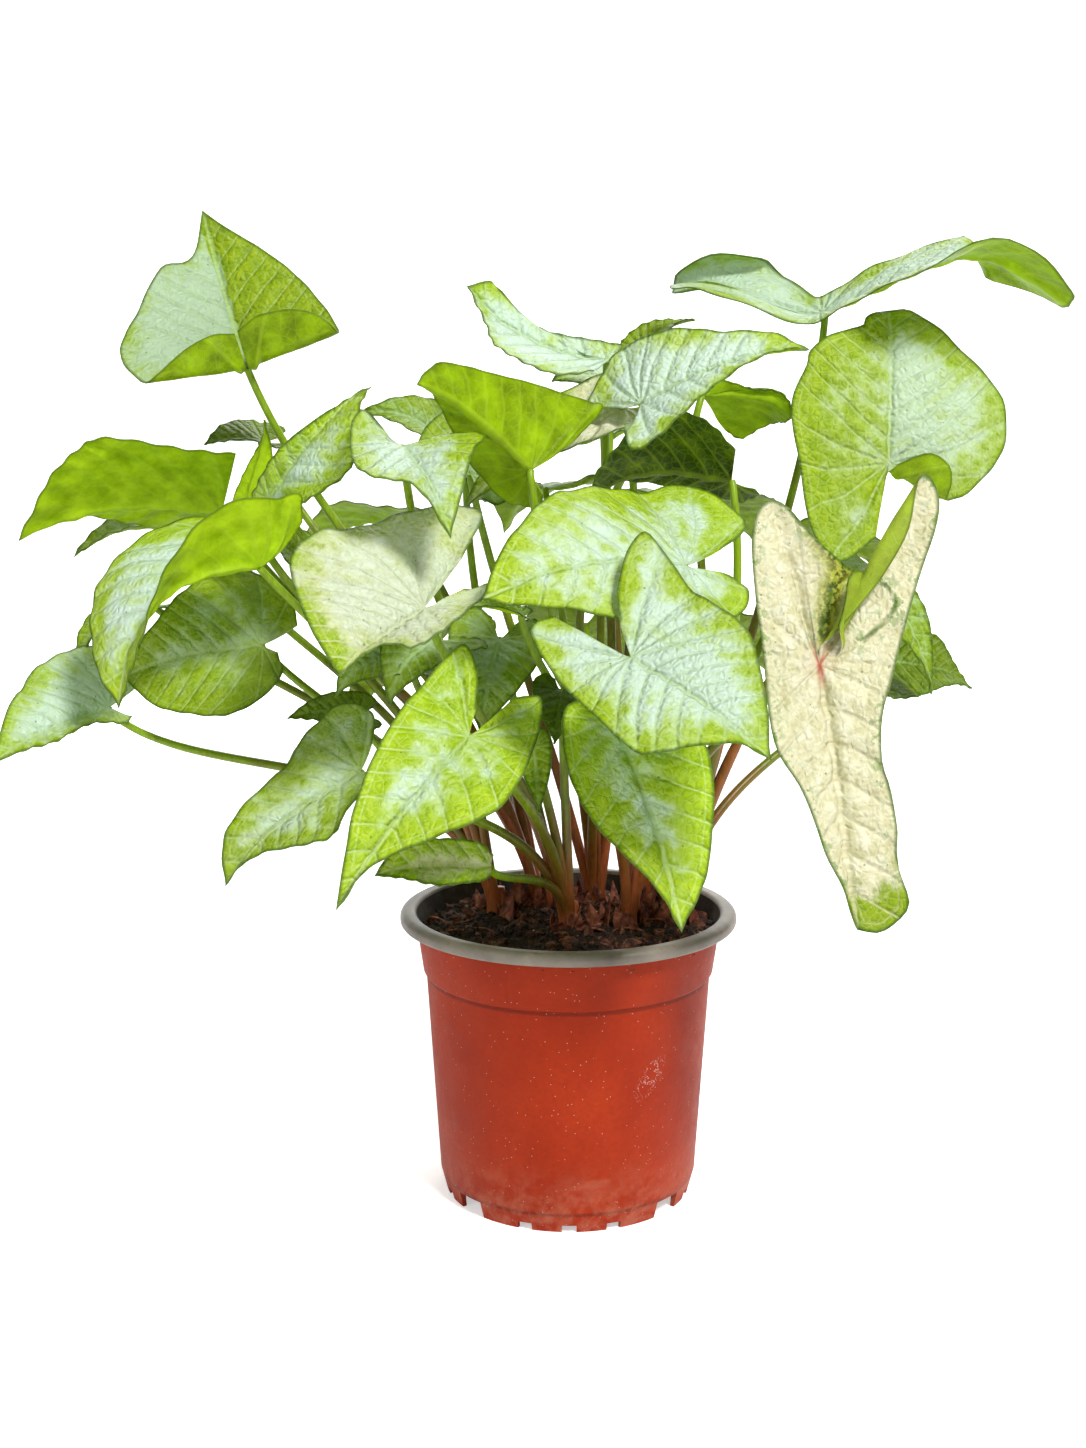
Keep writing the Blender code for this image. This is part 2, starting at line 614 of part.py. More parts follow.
# The pot: one thermoformed shell, with a rolled lip over a collar, a tapered body and a notched foot.
def make_pot():
    lip_low = POT_HEIGHT - LIP_DEPTH
    profile = (
        (0, PAD_THICKNESS),
        (PAD_RADIUS - PAD_SLOPE, PAD_THICKNESS),
        (PAD_RADIUS + 0.6, FLOOR_HEIGHT),
        (BASE_RADIUS - WALL, FLOOR_HEIGHT),
        (STEP_RADIUS - STEP_EDGE - WALL, STEP_HEIGHT - 1.5),
        (STEP_RADIUS - WALL, STEP_HEIGHT + 1.0),
        (COLLAR_RADIUS - WALL, lip_low),
        (COLLAR_RADIUS, POT_HEIGHT - 1.2),
        (COLLAR_RADIUS + 1.4, POT_HEIGHT),
        (LIP_RADIUS - 2.0, POT_HEIGHT),
        (LIP_RADIUS - 0.4, POT_HEIGHT - 1.0),
        (LIP_RADIUS, POT_HEIGHT - 2.4),
        (LIP_RADIUS - 0.6, POT_HEIGHT - 4.2),
        (LIP_RADIUS - 2.4, lip_low),
        (COLLAR_RADIUS, lip_low - 0.4),
        (STEP_RADIUS, STEP_HEIGHT),
        (STEP_RADIUS - STEP_EDGE, STEP_HEIGHT - 0.6),
        (BASE_RADIUS, BASE_HEIGHT),
        (FOOT_RADIUS, 0),
        (FOOT_RADIUS - WALL, 0),
        (BASE_RADIUS - 2.8, BASE_HEIGHT - 0.4),
        (PAD_RADIUS + PAD_SLOPE, BASE_HEIGHT - 0.4),
        (PAD_RADIUS, 0),
        (0, 0),
    )
    terracotta = finish("Terracotta plastic", (0.42, 0.07, 0.03), 0.45)
    pot = add_part("pot", turned("pot", profile, POT_STEPS), terracotta)
    cuts = []
    for angle in DRAIN_ANGLES:
        gap_size = (DRAIN_WIDTH, FOOT_CUT_DEPTH, 2 * DRAIN_HEIGHT)
        cuts.append(box("drain gap", gap_size, (0, -FOOT_RADIUS, 0), angle))
        spot = Matrix.Rotation(math.radians(angle), 3, "Z") @ Vector((0, -DRAIN_HOLE_PLACE, 0))
        radii = (DRAIN_HOLE_RADIUS, DRAIN_HOLE_RADIUS)
        cuts.append(upright_cone("drain hole", radii, (BASE_HEIGHT - 3, FLOOR_HEIGHT + 2), spot, 10))
    for angle in NOTCH_ANGLES:
        notch_size = (NOTCH_WIDTH, FOOT_CUT_DEPTH, 2 * NOTCH_HEIGHT)
        cuts.append(box("notch", notch_size, (0, -FOOT_RADIUS, 0), angle))
    apply_boolean(pot, cuts, "DIFFERENCE", "EXACT")
    pot.data.set_sharp_from_angle(angle=math.radians(SHARP_ANGLE))


def mix_surface(radius, rim):
    """The height of the mix at a distance from the pot's axis, before its crumbs."""
    return MIX_LEVEL + MIX_CROWN * (1 - (radius / rim) ** 2)


# A bark chip lies on its side, half sunk in the mix, and clear of the crowns and the pot.
def make_chips(rim):
    random = np.random.default_rng(12)
    chips = []
    while len(chips) < CHIP_COUNT:
        angle = random.uniform(0, 2 * math.pi)
        radius = (rim - CHIP_EDGE_MARGIN) * math.sqrt(random.uniform(0.02, 1))
        place = (radius * math.cos(angle), radius * math.sin(angle))
        nearest = min(math.dist(place, crown) for crown in CROWNS.values())
        if nearest < CROWN_RADIUS + CHIP_CROWN_MARGIN:
            continue
        half_length = random.uniform(*CHIP_LENGTHS) / 2
        width = random.uniform(*CHIP_WIDTHS)
        chip = upright_cone("chip", (width, 0.7 * width), (-half_length, half_length), (0, 0), CHIP_SIDES)
        turn = Matrix.Rotation(random.uniform(0, 2 * math.pi), 4, "Z")
        tilt = Matrix.Rotation(math.radians(CHIP_TILT), 4, "X")
        lift = Matrix.Translation(Vector((*place, mix_surface(radius, rim) - CHIP_SINK)) * MM)
        chip.data.transform(lift @ turn @ tilt)
        chips.append(chip)
    return chips


# The potting mix fills the pot: a turned body with a crumbly top, bark chips and holes for the crowns.
def make_mix():
    rim = COLLAR_RADIUS - WALL - GAP - 0.4
    profile = (
        (0, MIX_LEVEL),
        *((share * rim, MIX_LEVEL) for share in reversed(MIX_RINGS)),
        (STEP_RADIUS - STEP_EDGE - WALL - GAP, STEP_HEIGHT - 1.5),
        (BASE_RADIUS - WALL - GAP, FLOOR_HEIGHT + GAP),
        (PAD_RADIUS + 0.2, FLOOR_HEIGHT + GAP),
        (PAD_RADIUS - PAD_SLOPE - 0.4, PAD_THICKNESS + GAP),
        (0, PAD_THICKNESS + GAP),
    )
    mesh = turned("soil", profile, MIX_STEPS)
    for vertex in mesh.vertices:
        x, y, z = np.array(vertex.co) / MM
        if z > MIX_LEVEL - 1:
            radius = math.hypot(x, y)
            steady = min(1, 0.3 + 6 * (1 - (radius / rim) ** 2))
            crumb = math.sin(0.55 * x + 1.3) * math.sin(0.6 * y + 0.4) + 0.5 * math.sin(1.3 * x - 0.9 * y)
            vertex.co.z = (mix_surface(radius, rim) + CRUMB_HEIGHT * crumb * steady) * MM
    soil = add_part("soil", mesh, finish("Potting mix", (0.03, 0.018, 0.012), 0.95))
    apply_boolean(soil, make_chips(rim), "UNION", "MANIFOLD")
    hole_radii = (CROWN_RADIUS + GAP, CROWN_RADIUS + GAP)
    hole_heights = (CROWN_FOOT - GAP, CROWN_TOP)
    holes = [upright_cone("hole", hole_radii, hole_heights, place, CROWN_SIDES) for place in CROWNS.values()]
    apply_boolean(soil, holes, "DIFFERENCE", "MANIFOLD")


def stalk_tube(route):
    """A closed tube along the route, in millimetres, that tapers towards its blade."""
    curve = bpy.data.curves.new("stalk", "CURVE")
    curve.dimensions = "3D"
    curve.bevel_depth = MM
    curve.bevel_resolution = 1
    curve.use_fill_caps = True
    spline = curve.splines.new("POLY")
    spline.points.add(len(route) - 1)
    radii = np.linspace(STALK_BASE_RADIUS, STALK_TOP_RADIUS, len(route))
    for point, place, radius in zip(spline.points, route, radii):
        point.co = (*(place * MM), 1)
        point.radius = radius
    guide = bpy.data.objects.new("stalk guide", curve)
    bpy.context.scene.collection.objects.link(guide)
    mesh = shape_of(guide)
    sewn = bmesh.new()
    sewn.from_mesh(mesh)
    bmesh.ops.remove_doubles(sewn, verts=sewn.verts, dist=0.00001)
    sewn.to_mesh(mesh)
    sewn.free()
    tube = bpy.data.objects.new("stalk", mesh)
    tube.matrix_world = guide.matrix_world
    bpy.data.objects.remove(guide, do_unlink=True)
    return tube


# A shoot: a short crown that stands in the mix, with the stalks of its leaves grown out of it.
def make_shoots():
    stalk_green = finish("Leaf stalk", (0.22, 0.12, 0.035), 0.5)
    crown_radii = (CROWN_RADIUS, CROWN_RADIUS * CROWN_TAPER)
    for shoot, place in CROWNS.items():
        crown = upright_cone("shoot_" + shoot, crown_radii, (CROWN_FOOT, CROWN_TOP), place, CROWN_SIDES)
        crown.data.materials.append(stalk_green)
        move_to(PARTS, crown)
        stalks = [stalk_tube(stalk_route(leaf)) for leaf in LEAVES if leaf.shoot == shoot]
        apply_boolean(crown, stalks, "UNION", "MANIFOLD")


# The blades: one closed sheet for each leaf, thickened from its middle surface.
def make_blades():
    leaf_green = finish("Leaf blade", (0.30, 0.46, 0.14), 0.4)
    for leaf in LEAVES:
        small = leaf_frame(leaf)[0] < SMALL_LEAF
        spokes, rings = (SMALL_SPOKES, SMALL_RINGS) if small else (SPOKES, RINGS)
        if leaf.rolls:
            spokes, rings = ROLLED_SPOKES, ROLLED_RINGS
        points, faces = blade_sheet(leaf, spokes, rings)
        mesh = bpy.data.meshes.new("blade_" + leaf.name)
        mesh.from_pydata([tuple(point * MM) for point in points], [], faces)
        mesh.shade_smooth()
        blade = add_part("blade_" + leaf.name, mesh, leaf_green)
        skin = blade.modifiers.new("Thickness", "SOLIDIFY")
        skin.thickness = BLADE_THICKNESS * MM
        skin.offset = 0


make_pot()
make_mix()
make_shoots()
make_blades()
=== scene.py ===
"""An arrowhead plant in its nursery pot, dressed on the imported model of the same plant."""

import math

import bpy
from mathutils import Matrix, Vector


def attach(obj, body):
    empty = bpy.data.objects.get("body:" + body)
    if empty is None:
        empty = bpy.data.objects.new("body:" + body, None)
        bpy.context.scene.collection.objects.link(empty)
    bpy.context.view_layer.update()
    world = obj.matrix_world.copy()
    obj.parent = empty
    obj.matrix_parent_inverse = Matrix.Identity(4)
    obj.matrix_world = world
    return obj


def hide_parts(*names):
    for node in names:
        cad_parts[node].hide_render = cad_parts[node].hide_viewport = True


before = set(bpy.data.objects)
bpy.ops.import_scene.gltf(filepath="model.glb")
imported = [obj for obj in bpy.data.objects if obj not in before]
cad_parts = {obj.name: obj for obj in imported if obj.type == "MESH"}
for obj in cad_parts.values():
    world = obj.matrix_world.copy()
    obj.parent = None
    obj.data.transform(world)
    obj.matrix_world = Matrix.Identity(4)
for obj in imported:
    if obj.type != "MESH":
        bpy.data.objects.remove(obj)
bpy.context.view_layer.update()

SWEEP_WIDTH = 8.0
SWEEP_FRONT = -3.0
SWEEP_BACK = 2.6
SWEEP_CURVE = 1.6
SWEEP_TOP = 4.5
SWEEP_STEPS = 24
PAPER_GLOW_AS_LIGHT = 0.16
PAPER_GLOW_IN_VIEW = 0.5
STUDIO_AIR_STRENGTH = 0.22
PHOTO_HEIGHT = 1448
FOCAL_PIXELS = 1726
SENSOR = 36.0
CAMERA_PLACE = (-0.009, -0.600, 0.266)
CAMERA_PITCH = math.radians(9.17)


def linear(colour):
    """The red, green, blue and alpha, all linear, of an sRGB hex colour."""
    parts = [int(colour[i : i + 2], 16) / 255 for i in (1, 3, 5)]
    parts = [c / 12.92 if c <= 0.04045 else ((c + 0.055) / 1.055) ** 2.4 for c in parts]
    return (*parts, 1.0)


def add(tree, kind, inputs=None, out=0, stops=(), **settings):
    """Adds a node and gives one of its outputs.

    inputs are its sockets' values or links, by name or number, stops a colour ramp's places and hex
    colours, and settings the node's own. By number, a map range reads from 1 to 2 and gives from 3
    to 4, and a mix of two colours takes them on 6 and 7.
    """
    made = tree.nodes.new(kind)
    for name, value in settings.items():
        setattr(made, name, value)
    for socket, value in (inputs or {}).items():
        if isinstance(value, bpy.types.NodeSocket):
            tree.links.new(value, made.inputs[socket])
        else:
            made.inputs[socket].default_value = value
    for i, (place, colour) in enumerate(stops):
        element = made.color_ramp.elements[i] if i < 2 else made.color_ramp.elements.new(1.0)
        element.position = place
        element.color = linear(colour)
    return made.outputs[out] if len(made.outputs) else made


def new_material(title):
    """An empty material and its node tree."""
    material = bpy.data.materials.new(title)
    material.use_nodes = True
    material.node_tree.nodes.clear()
    return material, material.node_tree


def make_mesh_object(name, mesh, materials):
    """An object in the scene for a mesh, with its materials."""
    piece = bpy.data.objects.new(name, mesh)
    bpy.context.scene.collection.objects.link(piece)
    for material in materials:
        mesh.materials.append(material)
    return piece


# Matt white background paper: even, with no sheen, lit a little from behind, and overexposed in the
# camera, so that the plant's shadow on it is faint.
paper, tree = new_material("Matt white background paper")
in_view = add(tree, "ShaderNodeLightPath", out="Is Camera Ray")
glow = {0: in_view, 3: PAPER_GLOW_AS_LIGHT, 4: PAPER_GLOW_IN_VIEW}
glow = add(tree, "ShaderNodeMapRange", glow)
paper_look = {"Base Color": linear("#F6F6F5"), "Roughness": 0.9, "Emission Color": linear("#FFFFFF")}
surface = add(tree, "ShaderNodeBsdfPrincipled", {**paper_look, "Emission Strength": glow})
add(tree, "ShaderNodeOutputMaterial", {"Surface": surface})

side_line = [(SWEEP_FRONT, 0.0)]
for i in range(SWEEP_STEPS + 1):
    turn = math.radians(90 * i / SWEEP_STEPS)
    side_line.append((SWEEP_BACK + SWEEP_CURVE * math.sin(turn), SWEEP_CURVE * (1 - math.cos(turn))))
side_line.append((SWEEP_BACK + SWEEP_CURVE, SWEEP_TOP))
points = [(x, y, z) for y, z in side_line for x in (-SWEEP_WIDTH / 2, SWEEP_WIDTH / 2)]
faces = [(2 * i, 2 * i + 1, 2 * i + 3, 2 * i + 2) for i in range(len(side_line) - 1)]
sweep_mesh = bpy.data.meshes.new("Background_sweep")
sweep_mesh.from_pydata(points, [], faces)
sweep_mesh.shade_smooth()
sweep = make_mesh_object("Background_sweep", sweep_mesh, [paper])

camera = bpy.data.objects.new("Camera", bpy.data.cameras.new("Camera"))
bpy.context.scene.collection.objects.link(camera)
camera.data.sensor_width = SENSOR
camera.data.lens = FOCAL_PIXELS * SENSOR / PHOTO_HEIGHT
camera.data.clip_start = 0.01
camera.location = CAMERA_PLACE
camera.rotation_euler = (math.pi / 2 - CAMERA_PITCH, 0, 0)
bpy.context.scene.camera = camera
bpy.context.scene.view_settings.view_transform = "Standard"

# Each panel's place, the point that it faces, its width in metres and its power in watts
SOFT_PANELS = (
    ("Key_panel", (0.8, -1.25, 1.7), (0, 0, 0.2), 0.45, 50.0),
    ("Fill_panel", (-1.4, -1.2, 0.9), (0, 0, 0.2), 1.2, 9.0),
    ("Back_panel", (0.5, 1.4, 1.6), (0, 0, 0.2), 1.4, 20.0),
    ("Backdrop_panel", (0, 1.2, 1.5), (0, 4.2, 0.9), 3.0, 130.0),
)
for title, place, aim, width, power in SOFT_PANELS:
    panel = bpy.data.objects.new(title, bpy.data.lights.new(title, "AREA"))
    bpy.context.scene.collection.objects.link(panel)
    panel.data.size = width
    panel.data.energy = power
    panel.location = place
    panel.rotation_euler = (Vector(aim) - panel.location).to_track_quat("-Z", "Y").to_euler()

studio_air = bpy.data.worlds.new("Studio_air")
studio_air.use_nodes = True
air_light = studio_air.node_tree.nodes["Background"].inputs
air_light["Color"].default_value = linear("#FFFFFF")
air_light["Strength"].default_value = STUDIO_AIR_STRENGTH
bpy.context.scene.world = studio_air


# The pot: one shell of thin polypropylene, thermoformed over a tapered tool, with a rolled lip, a
# step under the collar and a foot ring cut by notches and drain gaps. It stands on ring and pad.
import bmesh
from mathutils import Matrix

MM = 0.001
POT_HEIGHT = 103.0
LIP_RADIUS = 60.0
LIP_DEPTH = 5.0
LIP_INNER_ROUND = 1.8
LIP_OUTER_ROUND = 2.4
LIP_UNDER_ROUND = 1.3
LIP_EDGE_DROP = 3.3
LIP_SKIN_DROP = 1.5
LIP_SKIN_START = 0.3
COLLAR_RADIUS = 54.1
STEP_RADIUS = 51.7
STEP_HEIGHT = 81.0
STEP_EDGE = 0.8
INNER_STEP_LOW = 1.5
INNER_STEP_HIGH = 1.0
SHADE_LINE_DROP = 1.3
BASE_RADIUS = 46.2
BASE_HEIGHT = 6.8
FLOOR_HEIGHT = 8.0
FOOT_RADIUS = 44.3
PAD_RADIUS = 31.0
PAD_SLOPE = 2.2
PAD_THICKNESS = 1.8
WALL = 1.5
POT_STEPS = 144
MERGE_WITHIN = 0.00005
POT_SHARP_ANGLE = 32
DRAIN_ANGLES = (49.5, 130.5, -49.5, -130.5)
DRAIN_WIDTH = 11.5
DRAIN_HEIGHT = 6.0
DRAIN_HOLE_RADIUS = 3.0
DRAIN_HOLE_PLACE = 38.0
DRAIN_HOLE_DEPTH = 8.0
DRAIN_HOLE_SIDES = 24
NOTCH_ANGLES = (0, 20, -20, 70, -70, 90, -90, 110, -110, 160, -160, 180)
NOTCH_WIDTH = 5.0
NOTCH_HEIGHT = 2.6
FOOT_CUT_DEPTH = 8.0
SCRATCH_CENTRE = (0.0275, -0.0409, 0.0540)
SCRATCH_LEAN = 0.6


def shape_of(obj):
    """The object's mesh as its modifiers leave it."""
    bpy.context.view_layer.update()
    return bpy.data.meshes.new_from_object(obj.evaluated_get(bpy.context.evaluated_depsgraph_get()))


def turned(name, profile, steps):
    """A turned mesh from (radius, height) points in millimetres, which start and end on the axis."""
    line = bpy.data.meshes.new(name)
    points = [(radius * MM, 0, height * MM) for radius, height in profile]
    line.from_pydata(points, [(i, i + 1) for i in range(len(points) - 1)], [])
    guide = make_mesh_object(name, line, [])
    screw = guide.modifiers.new("Turn", "SCREW")
    screw.steps = steps
    screw.render_steps = steps
    screw.use_merge_vertices = True
    screw.merge_threshold = MERGE_WITHIN
    mesh = shape_of(guide)
    bpy.data.objects.remove(guide, do_unlink=True)
    mesh.name = name
    return mesh


def corner_arc(centre, radius, start, end, steps):
    """Points of a rounded corner in the profile's plane, its angles in degrees."""
    turns = [math.radians(start + (end - start) * i / steps) for i in range(steps + 1)]
    return [(centre[0] + radius * math.cos(t), centre[1] + radius * math.sin(t)) for t in turns]


def placed_cutter(angle, away, level, size=(1, 1, 1)):
    """Puts the form just added where it cuts the foot, and stretches it to a size in metres.

    angle is in degrees from the front, and the distance from the axis and the level are in
    millimetres.
    """
    cutter = bpy.context.active_object
    turn = Matrix.Rotation(math.radians(angle), 4, "Z")
    move = Matrix.Translation((0, -away * MM, level * MM))
    cutter.data.transform(turn @ move @ Matrix.Diagonal((*size, 1)))
    return cutter


lip_low = POT_HEIGHT - LIP_DEPTH
foot_top = BASE_HEIGHT - 0.4
inner, outer, under = LIP_INNER_ROUND, LIP_OUTER_ROUND, LIP_UNDER_ROUND
pot_profile = [
    (0, PAD_THICKNESS),
    (PAD_RADIUS - PAD_SLOPE, PAD_THICKNESS),
    (PAD_RADIUS + 0.6, FLOOR_HEIGHT),
    (BASE_RADIUS - WALL, FLOOR_HEIGHT),
    (STEP_RADIUS - STEP_EDGE - WALL, STEP_HEIGHT - INNER_STEP_LOW),
    (STEP_RADIUS - WALL, STEP_HEIGHT + INNER_STEP_HIGH),
    (COLLAR_RADIUS - WALL, lip_low),
    *corner_arc((COLLAR_RADIUS + inner, POT_HEIGHT - inner), inner, 180, 90, 5),
    *corner_arc((LIP_RADIUS - outer, POT_HEIGHT - outer), outer, 90, 0, 6),
    *corner_arc((LIP_RADIUS - under, POT_HEIGHT - LIP_EDGE_DROP), under, 0, -90, 4),
    (COLLAR_RADIUS + 1.2, lip_low + 0.4),
    (COLLAR_RADIUS, lip_low - 1.0),
    (STEP_RADIUS + 0.15, STEP_HEIGHT + 0.5),
    (STEP_RADIUS - 0.1, STEP_HEIGHT),
    (STEP_RADIUS - STEP_EDGE, STEP_HEIGHT - 0.5),
    (STEP_RADIUS - STEP_EDGE - 0.1, STEP_HEIGHT - 1.4),
    (BASE_RADIUS + 0.1, BASE_HEIGHT + 0.8),
    (BASE_RADIUS - 0.25, foot_top),
    (FOOT_RADIUS, 0),
    (FOOT_RADIUS - WALL, 0),
    (BASE_RADIUS - 2.8, foot_top),
    (PAD_RADIUS + PAD_SLOPE, foot_top),
    (PAD_RADIUS, 0),
    (0, 0),
]
foot_cutters = []
for angles, width, height in (
    (DRAIN_ANGLES, DRAIN_WIDTH, DRAIN_HEIGHT),
    (NOTCH_ANGLES, NOTCH_WIDTH, NOTCH_HEIGHT),
):
    for angle in angles:
        bpy.ops.mesh.primitive_cube_add(size=1)
        size = (width * MM, FOOT_CUT_DEPTH * MM, 2 * height * MM)
        foot_cutters.append(placed_cutter(angle, FOOT_RADIUS, 0, size))
for angle in DRAIN_ANGLES:
    drill = {"vertices": DRAIN_HOLE_SIDES, "radius": DRAIN_HOLE_RADIUS * MM, "depth": DRAIN_HOLE_DEPTH * MM}
    bpy.ops.mesh.primitive_cylinder_add(**drill)
    foot_cutters.append(placed_cutter(angle, DRAIN_HOLE_PLACE, FLOOR_HEIGHT))

# Terracotta-coloured polypropylene, thermoformed: a soft satin skin, sun-faded in patches of about
# 30 mm and mottled at 1.6 mm. Grime of 6 mm patches and smears of 11 by 28 mm leave pale dust low
# down, painted shade darkens thin lines at the step and the foot, and specks of lime up to 0.4 mm
# wide lie on it.
COLOUR_MIX = {"out": 2, "data_type": "RGBA"}
SMOOTH = {"interpolation_type": "SMOOTHSTEP"}
terracotta, tree = new_material("Terracotta polypropylene, dusty satin")
place = add(tree, "ShaderNodeTexCoord", out="Object")
height = add(tree, "ShaderNodeSeparateXYZ", {0: place}, out="Z")
patches = add(tree, "ShaderNodeTexNoise", {"Vector": place, "Scale": 34.0, "Detail": 5.0})
stops = ((0.3, "#912506"), (0.5, "#9B2B09"), (0.7, "#A5320E"))
body = add(tree, "ShaderNodeValToRGB", {0: patches}, stops=stops)
mottle = add(tree, "ShaderNodeTexNoise", {"Vector": place, "Scale": 620.0, "Detail": 4.0})
mottle = add(tree, "ShaderNodeMapRange", {0: mottle, 1: 0.4, 2: 0.66, 3: 0.0, 4: 0.3})
grime = add(tree, "ShaderNodeTexNoise", {"Vector": place, "Scale": 160.0, "Detail": 8.0, "Roughness": 0.7})
dust_low = add(tree, "ShaderNodeMapRange", {0: height, 1: 0.030, 2: 0.0, 3: 0.0, 4: 0.24}, **SMOOTH)
grime_mask = add(tree, "ShaderNodeMapRange", {0: grime, 1: 0.42, 2: 0.62})
dust = add(tree, "ShaderNodeMath", {0: dust_low, 1: grime_mask}, operation="MULTIPLY")
smears = add(tree, "ShaderNodeMapping", {"Vector": place, "Scale": (0.4, 0.4, 1.0)})
smears = add(tree, "ShaderNodeTexNoise", {"Vector": smears, "Scale": 90.0, "Detail": 6.0, "Distortion": 0.4})
smears = add(tree, "ShaderNodeMapRange", {0: smears, 1: 0.6, 2: 0.74})
smear_band = add(tree, "ShaderNodeMapRange", {0: height, 1: 0.034, 2: 0.012, 3: 0.0, 4: 0.3})
smears = add(tree, "ShaderNodeMath", {0: smears, 1: smear_band}, operation="MULTIPLY")
dust = add(tree, "ShaderNodeMath", {0: dust, 1: smears}, operation="MAXIMUM")
# Painted shade: a thin dark line just under the step and one at the foot, standing in for the shadow there.
painted_shade_lines = []
for level in (STEP_HEIGHT - SHADE_LINE_DROP, BASE_HEIGHT):
    painted_shade_line = add(tree, "ShaderNodeMath", {0: height, 1: level * MM}, operation="SUBTRACT")
    painted_shade_lines.append(add(tree, "ShaderNodeMath", {0: painted_shade_line}, operation="ABSOLUTE"))
painted_shade_line = add(tree, "ShaderNodeMath", {0: painted_shade_lines[0], 1: painted_shade_lines[1]}, operation="MINIMUM")
painted_shade_line = add(tree, "ShaderNodeMapRange", {0: painted_shade_line, 1: 0.0003, 2: 0.001, 3: 0.6, 4: 0.0})
specks = add(tree, "ShaderNodeTexVoronoi", {"Vector": place, "Scale": 470.0, "Randomness": 1.0})
specks = add(tree, "ShaderNodeMapRange", {0: specks, 1: 0.05, 2: 0.09, 3: 0.5, 4: 0.0})
# One scratch, a patch of fine lines low on the right of the front, 8 mm wide and 20 mm tall.
scratch_form = {"Location": SCRATCH_CENTRE, "Rotation": (0.0, SCRATCH_LEAN, 0.0), "Scale": (0.5, 1.0, 1.15)}
scratch_away = add(tree, "ShaderNodeMapping", {"Vector": place, **scratch_form}, vector_type="TEXTURE")
scratch_away = add(tree, "ShaderNodeVectorMath", {0: scratch_away}, out="Value", operation="LENGTH")
scratched = add(tree, "ShaderNodeMapRange", {0: scratch_away, 1: 0.004, 2: 0.0085, 3: 0.85, 4: 0.0})
lines = add(tree, "ShaderNodeTexNoise", {"Vector": place, "Scale": 210.0, "Detail": 2.0, "Distortion": 2.2})
lines = add(tree, "ShaderNodeMath", {0: lines, 1: 0.5}, operation="SUBTRACT")
lines = add(tree, "ShaderNodeMath", {0: lines}, operation="ABSOLUTE")
lines = add(tree, "ShaderNodeMapRange", {0: lines, 1: 0.003, 2: 0.012, 3: 1.0, 4: 0.0})
scratch = add(tree, "ShaderNodeMath", {0: lines, 1: scratched}, operation="MULTIPLY")
specks = add(tree, "ShaderNodeMath", {0: specks, 1: scratch}, operation="MAXIMUM")
tints = ((mottle, "#7C2209"), (painted_shade_line, "#57160A"), (dust, "#D29A7E"), (specks, "#E8D9CC"))
for mask, tint in tints:
    body = add(tree, "ShaderNodeMix", {"Factor": mask, 6: body, 7: linear(tint)}, **COLOUR_MIX)
gloss = add(tree, "ShaderNodeMapRange", {0: grime, 1: 0.3, 2: 0.7, 3: 0.42, 4: 0.58})
orange_peel = add(tree, "ShaderNodeTexNoise", {"Vector": place, "Scale": 420.0, "Detail": 3.0})
relief = add(tree, "ShaderNodeBump", {"Height": orange_peel, "Strength": 0.14, "Distance": 0.0004})
look = {"Base Color": body, "Roughness": gloss, "Normal": relief, "Specular IOR Level": 0.13}
surface = add(tree, "ShaderNodeBsdfPrincipled", look)
add(tree, "ShaderNodeOutputMaterial", {"Surface": surface})

# The same plastic with the grey skin of the lip and the dark inside: weathered, matt, clouded at
# 17 mm and stained at 3 mm.
weathered, tree = new_material("Weathered grey lip, chalky plastic")
place = add(tree, "ShaderNodeTexCoord", out="Object")
patches = add(tree, "ShaderNodeTexNoise", {"Vector": place, "Scale": 60.0, "Detail": 8.0, "Roughness": 0.6})
stops = ((0.28, "#5F564D"), (0.45, "#726A5F"), (0.6, "#80776B"), (0.75, "#958C7F"))
lip_colour = add(tree, "ShaderNodeValToRGB", {0: patches}, stops=stops)
stains = add(tree, "ShaderNodeTexNoise", {"Vector": place, "Scale": 300.0, "Detail": 5.0})
stain_mask = add(tree, "ShaderNodeMapRange", {0: stains, 1: 0.6, 2: 0.72, 3: 0.0, 4: 0.6})
stained = {"Factor": stain_mask, 6: lip_colour, 7: linear("#7A4A38")}
lip_colour = add(tree, "ShaderNodeMix", stained, **COLOUR_MIX)
relief = add(tree, "ShaderNodeBump", {"Height": stains, "Strength": 0.15, "Distance": 0.0004})
look = {"Base Color": lip_colour, "Roughness": 0.4, "Normal": relief}
surface = add(tree, "ShaderNodeBsdfPrincipled", look)
add(tree, "ShaderNodeOutputMaterial", {"Surface": surface})

# The inside wall: the same grey skin, darker, with dried mix on it in spots of about 7 mm.
inside_grey, tree = new_material("Dark grey inner wall, soiled plastic")
place = add(tree, "ShaderNodeTexCoord", out="Object")
spots = add(tree, "ShaderNodeTexNoise", {"Vector": place, "Scale": 140.0, "Detail": 8.0, "Roughness": 0.7})
stops = ((0.3, "#1E1A17"), (0.5, "#332D29"), (0.7, "#544C45"))
wall_colour = add(tree, "ShaderNodeValToRGB", {0: spots}, stops=stops)
surface = add(tree, "ShaderNodeBsdfPrincipled", {"Base Color": wall_colour, "Roughness": 0.75})
add(tree, "ShaderNodeOutputMaterial", {"Surface": surface})

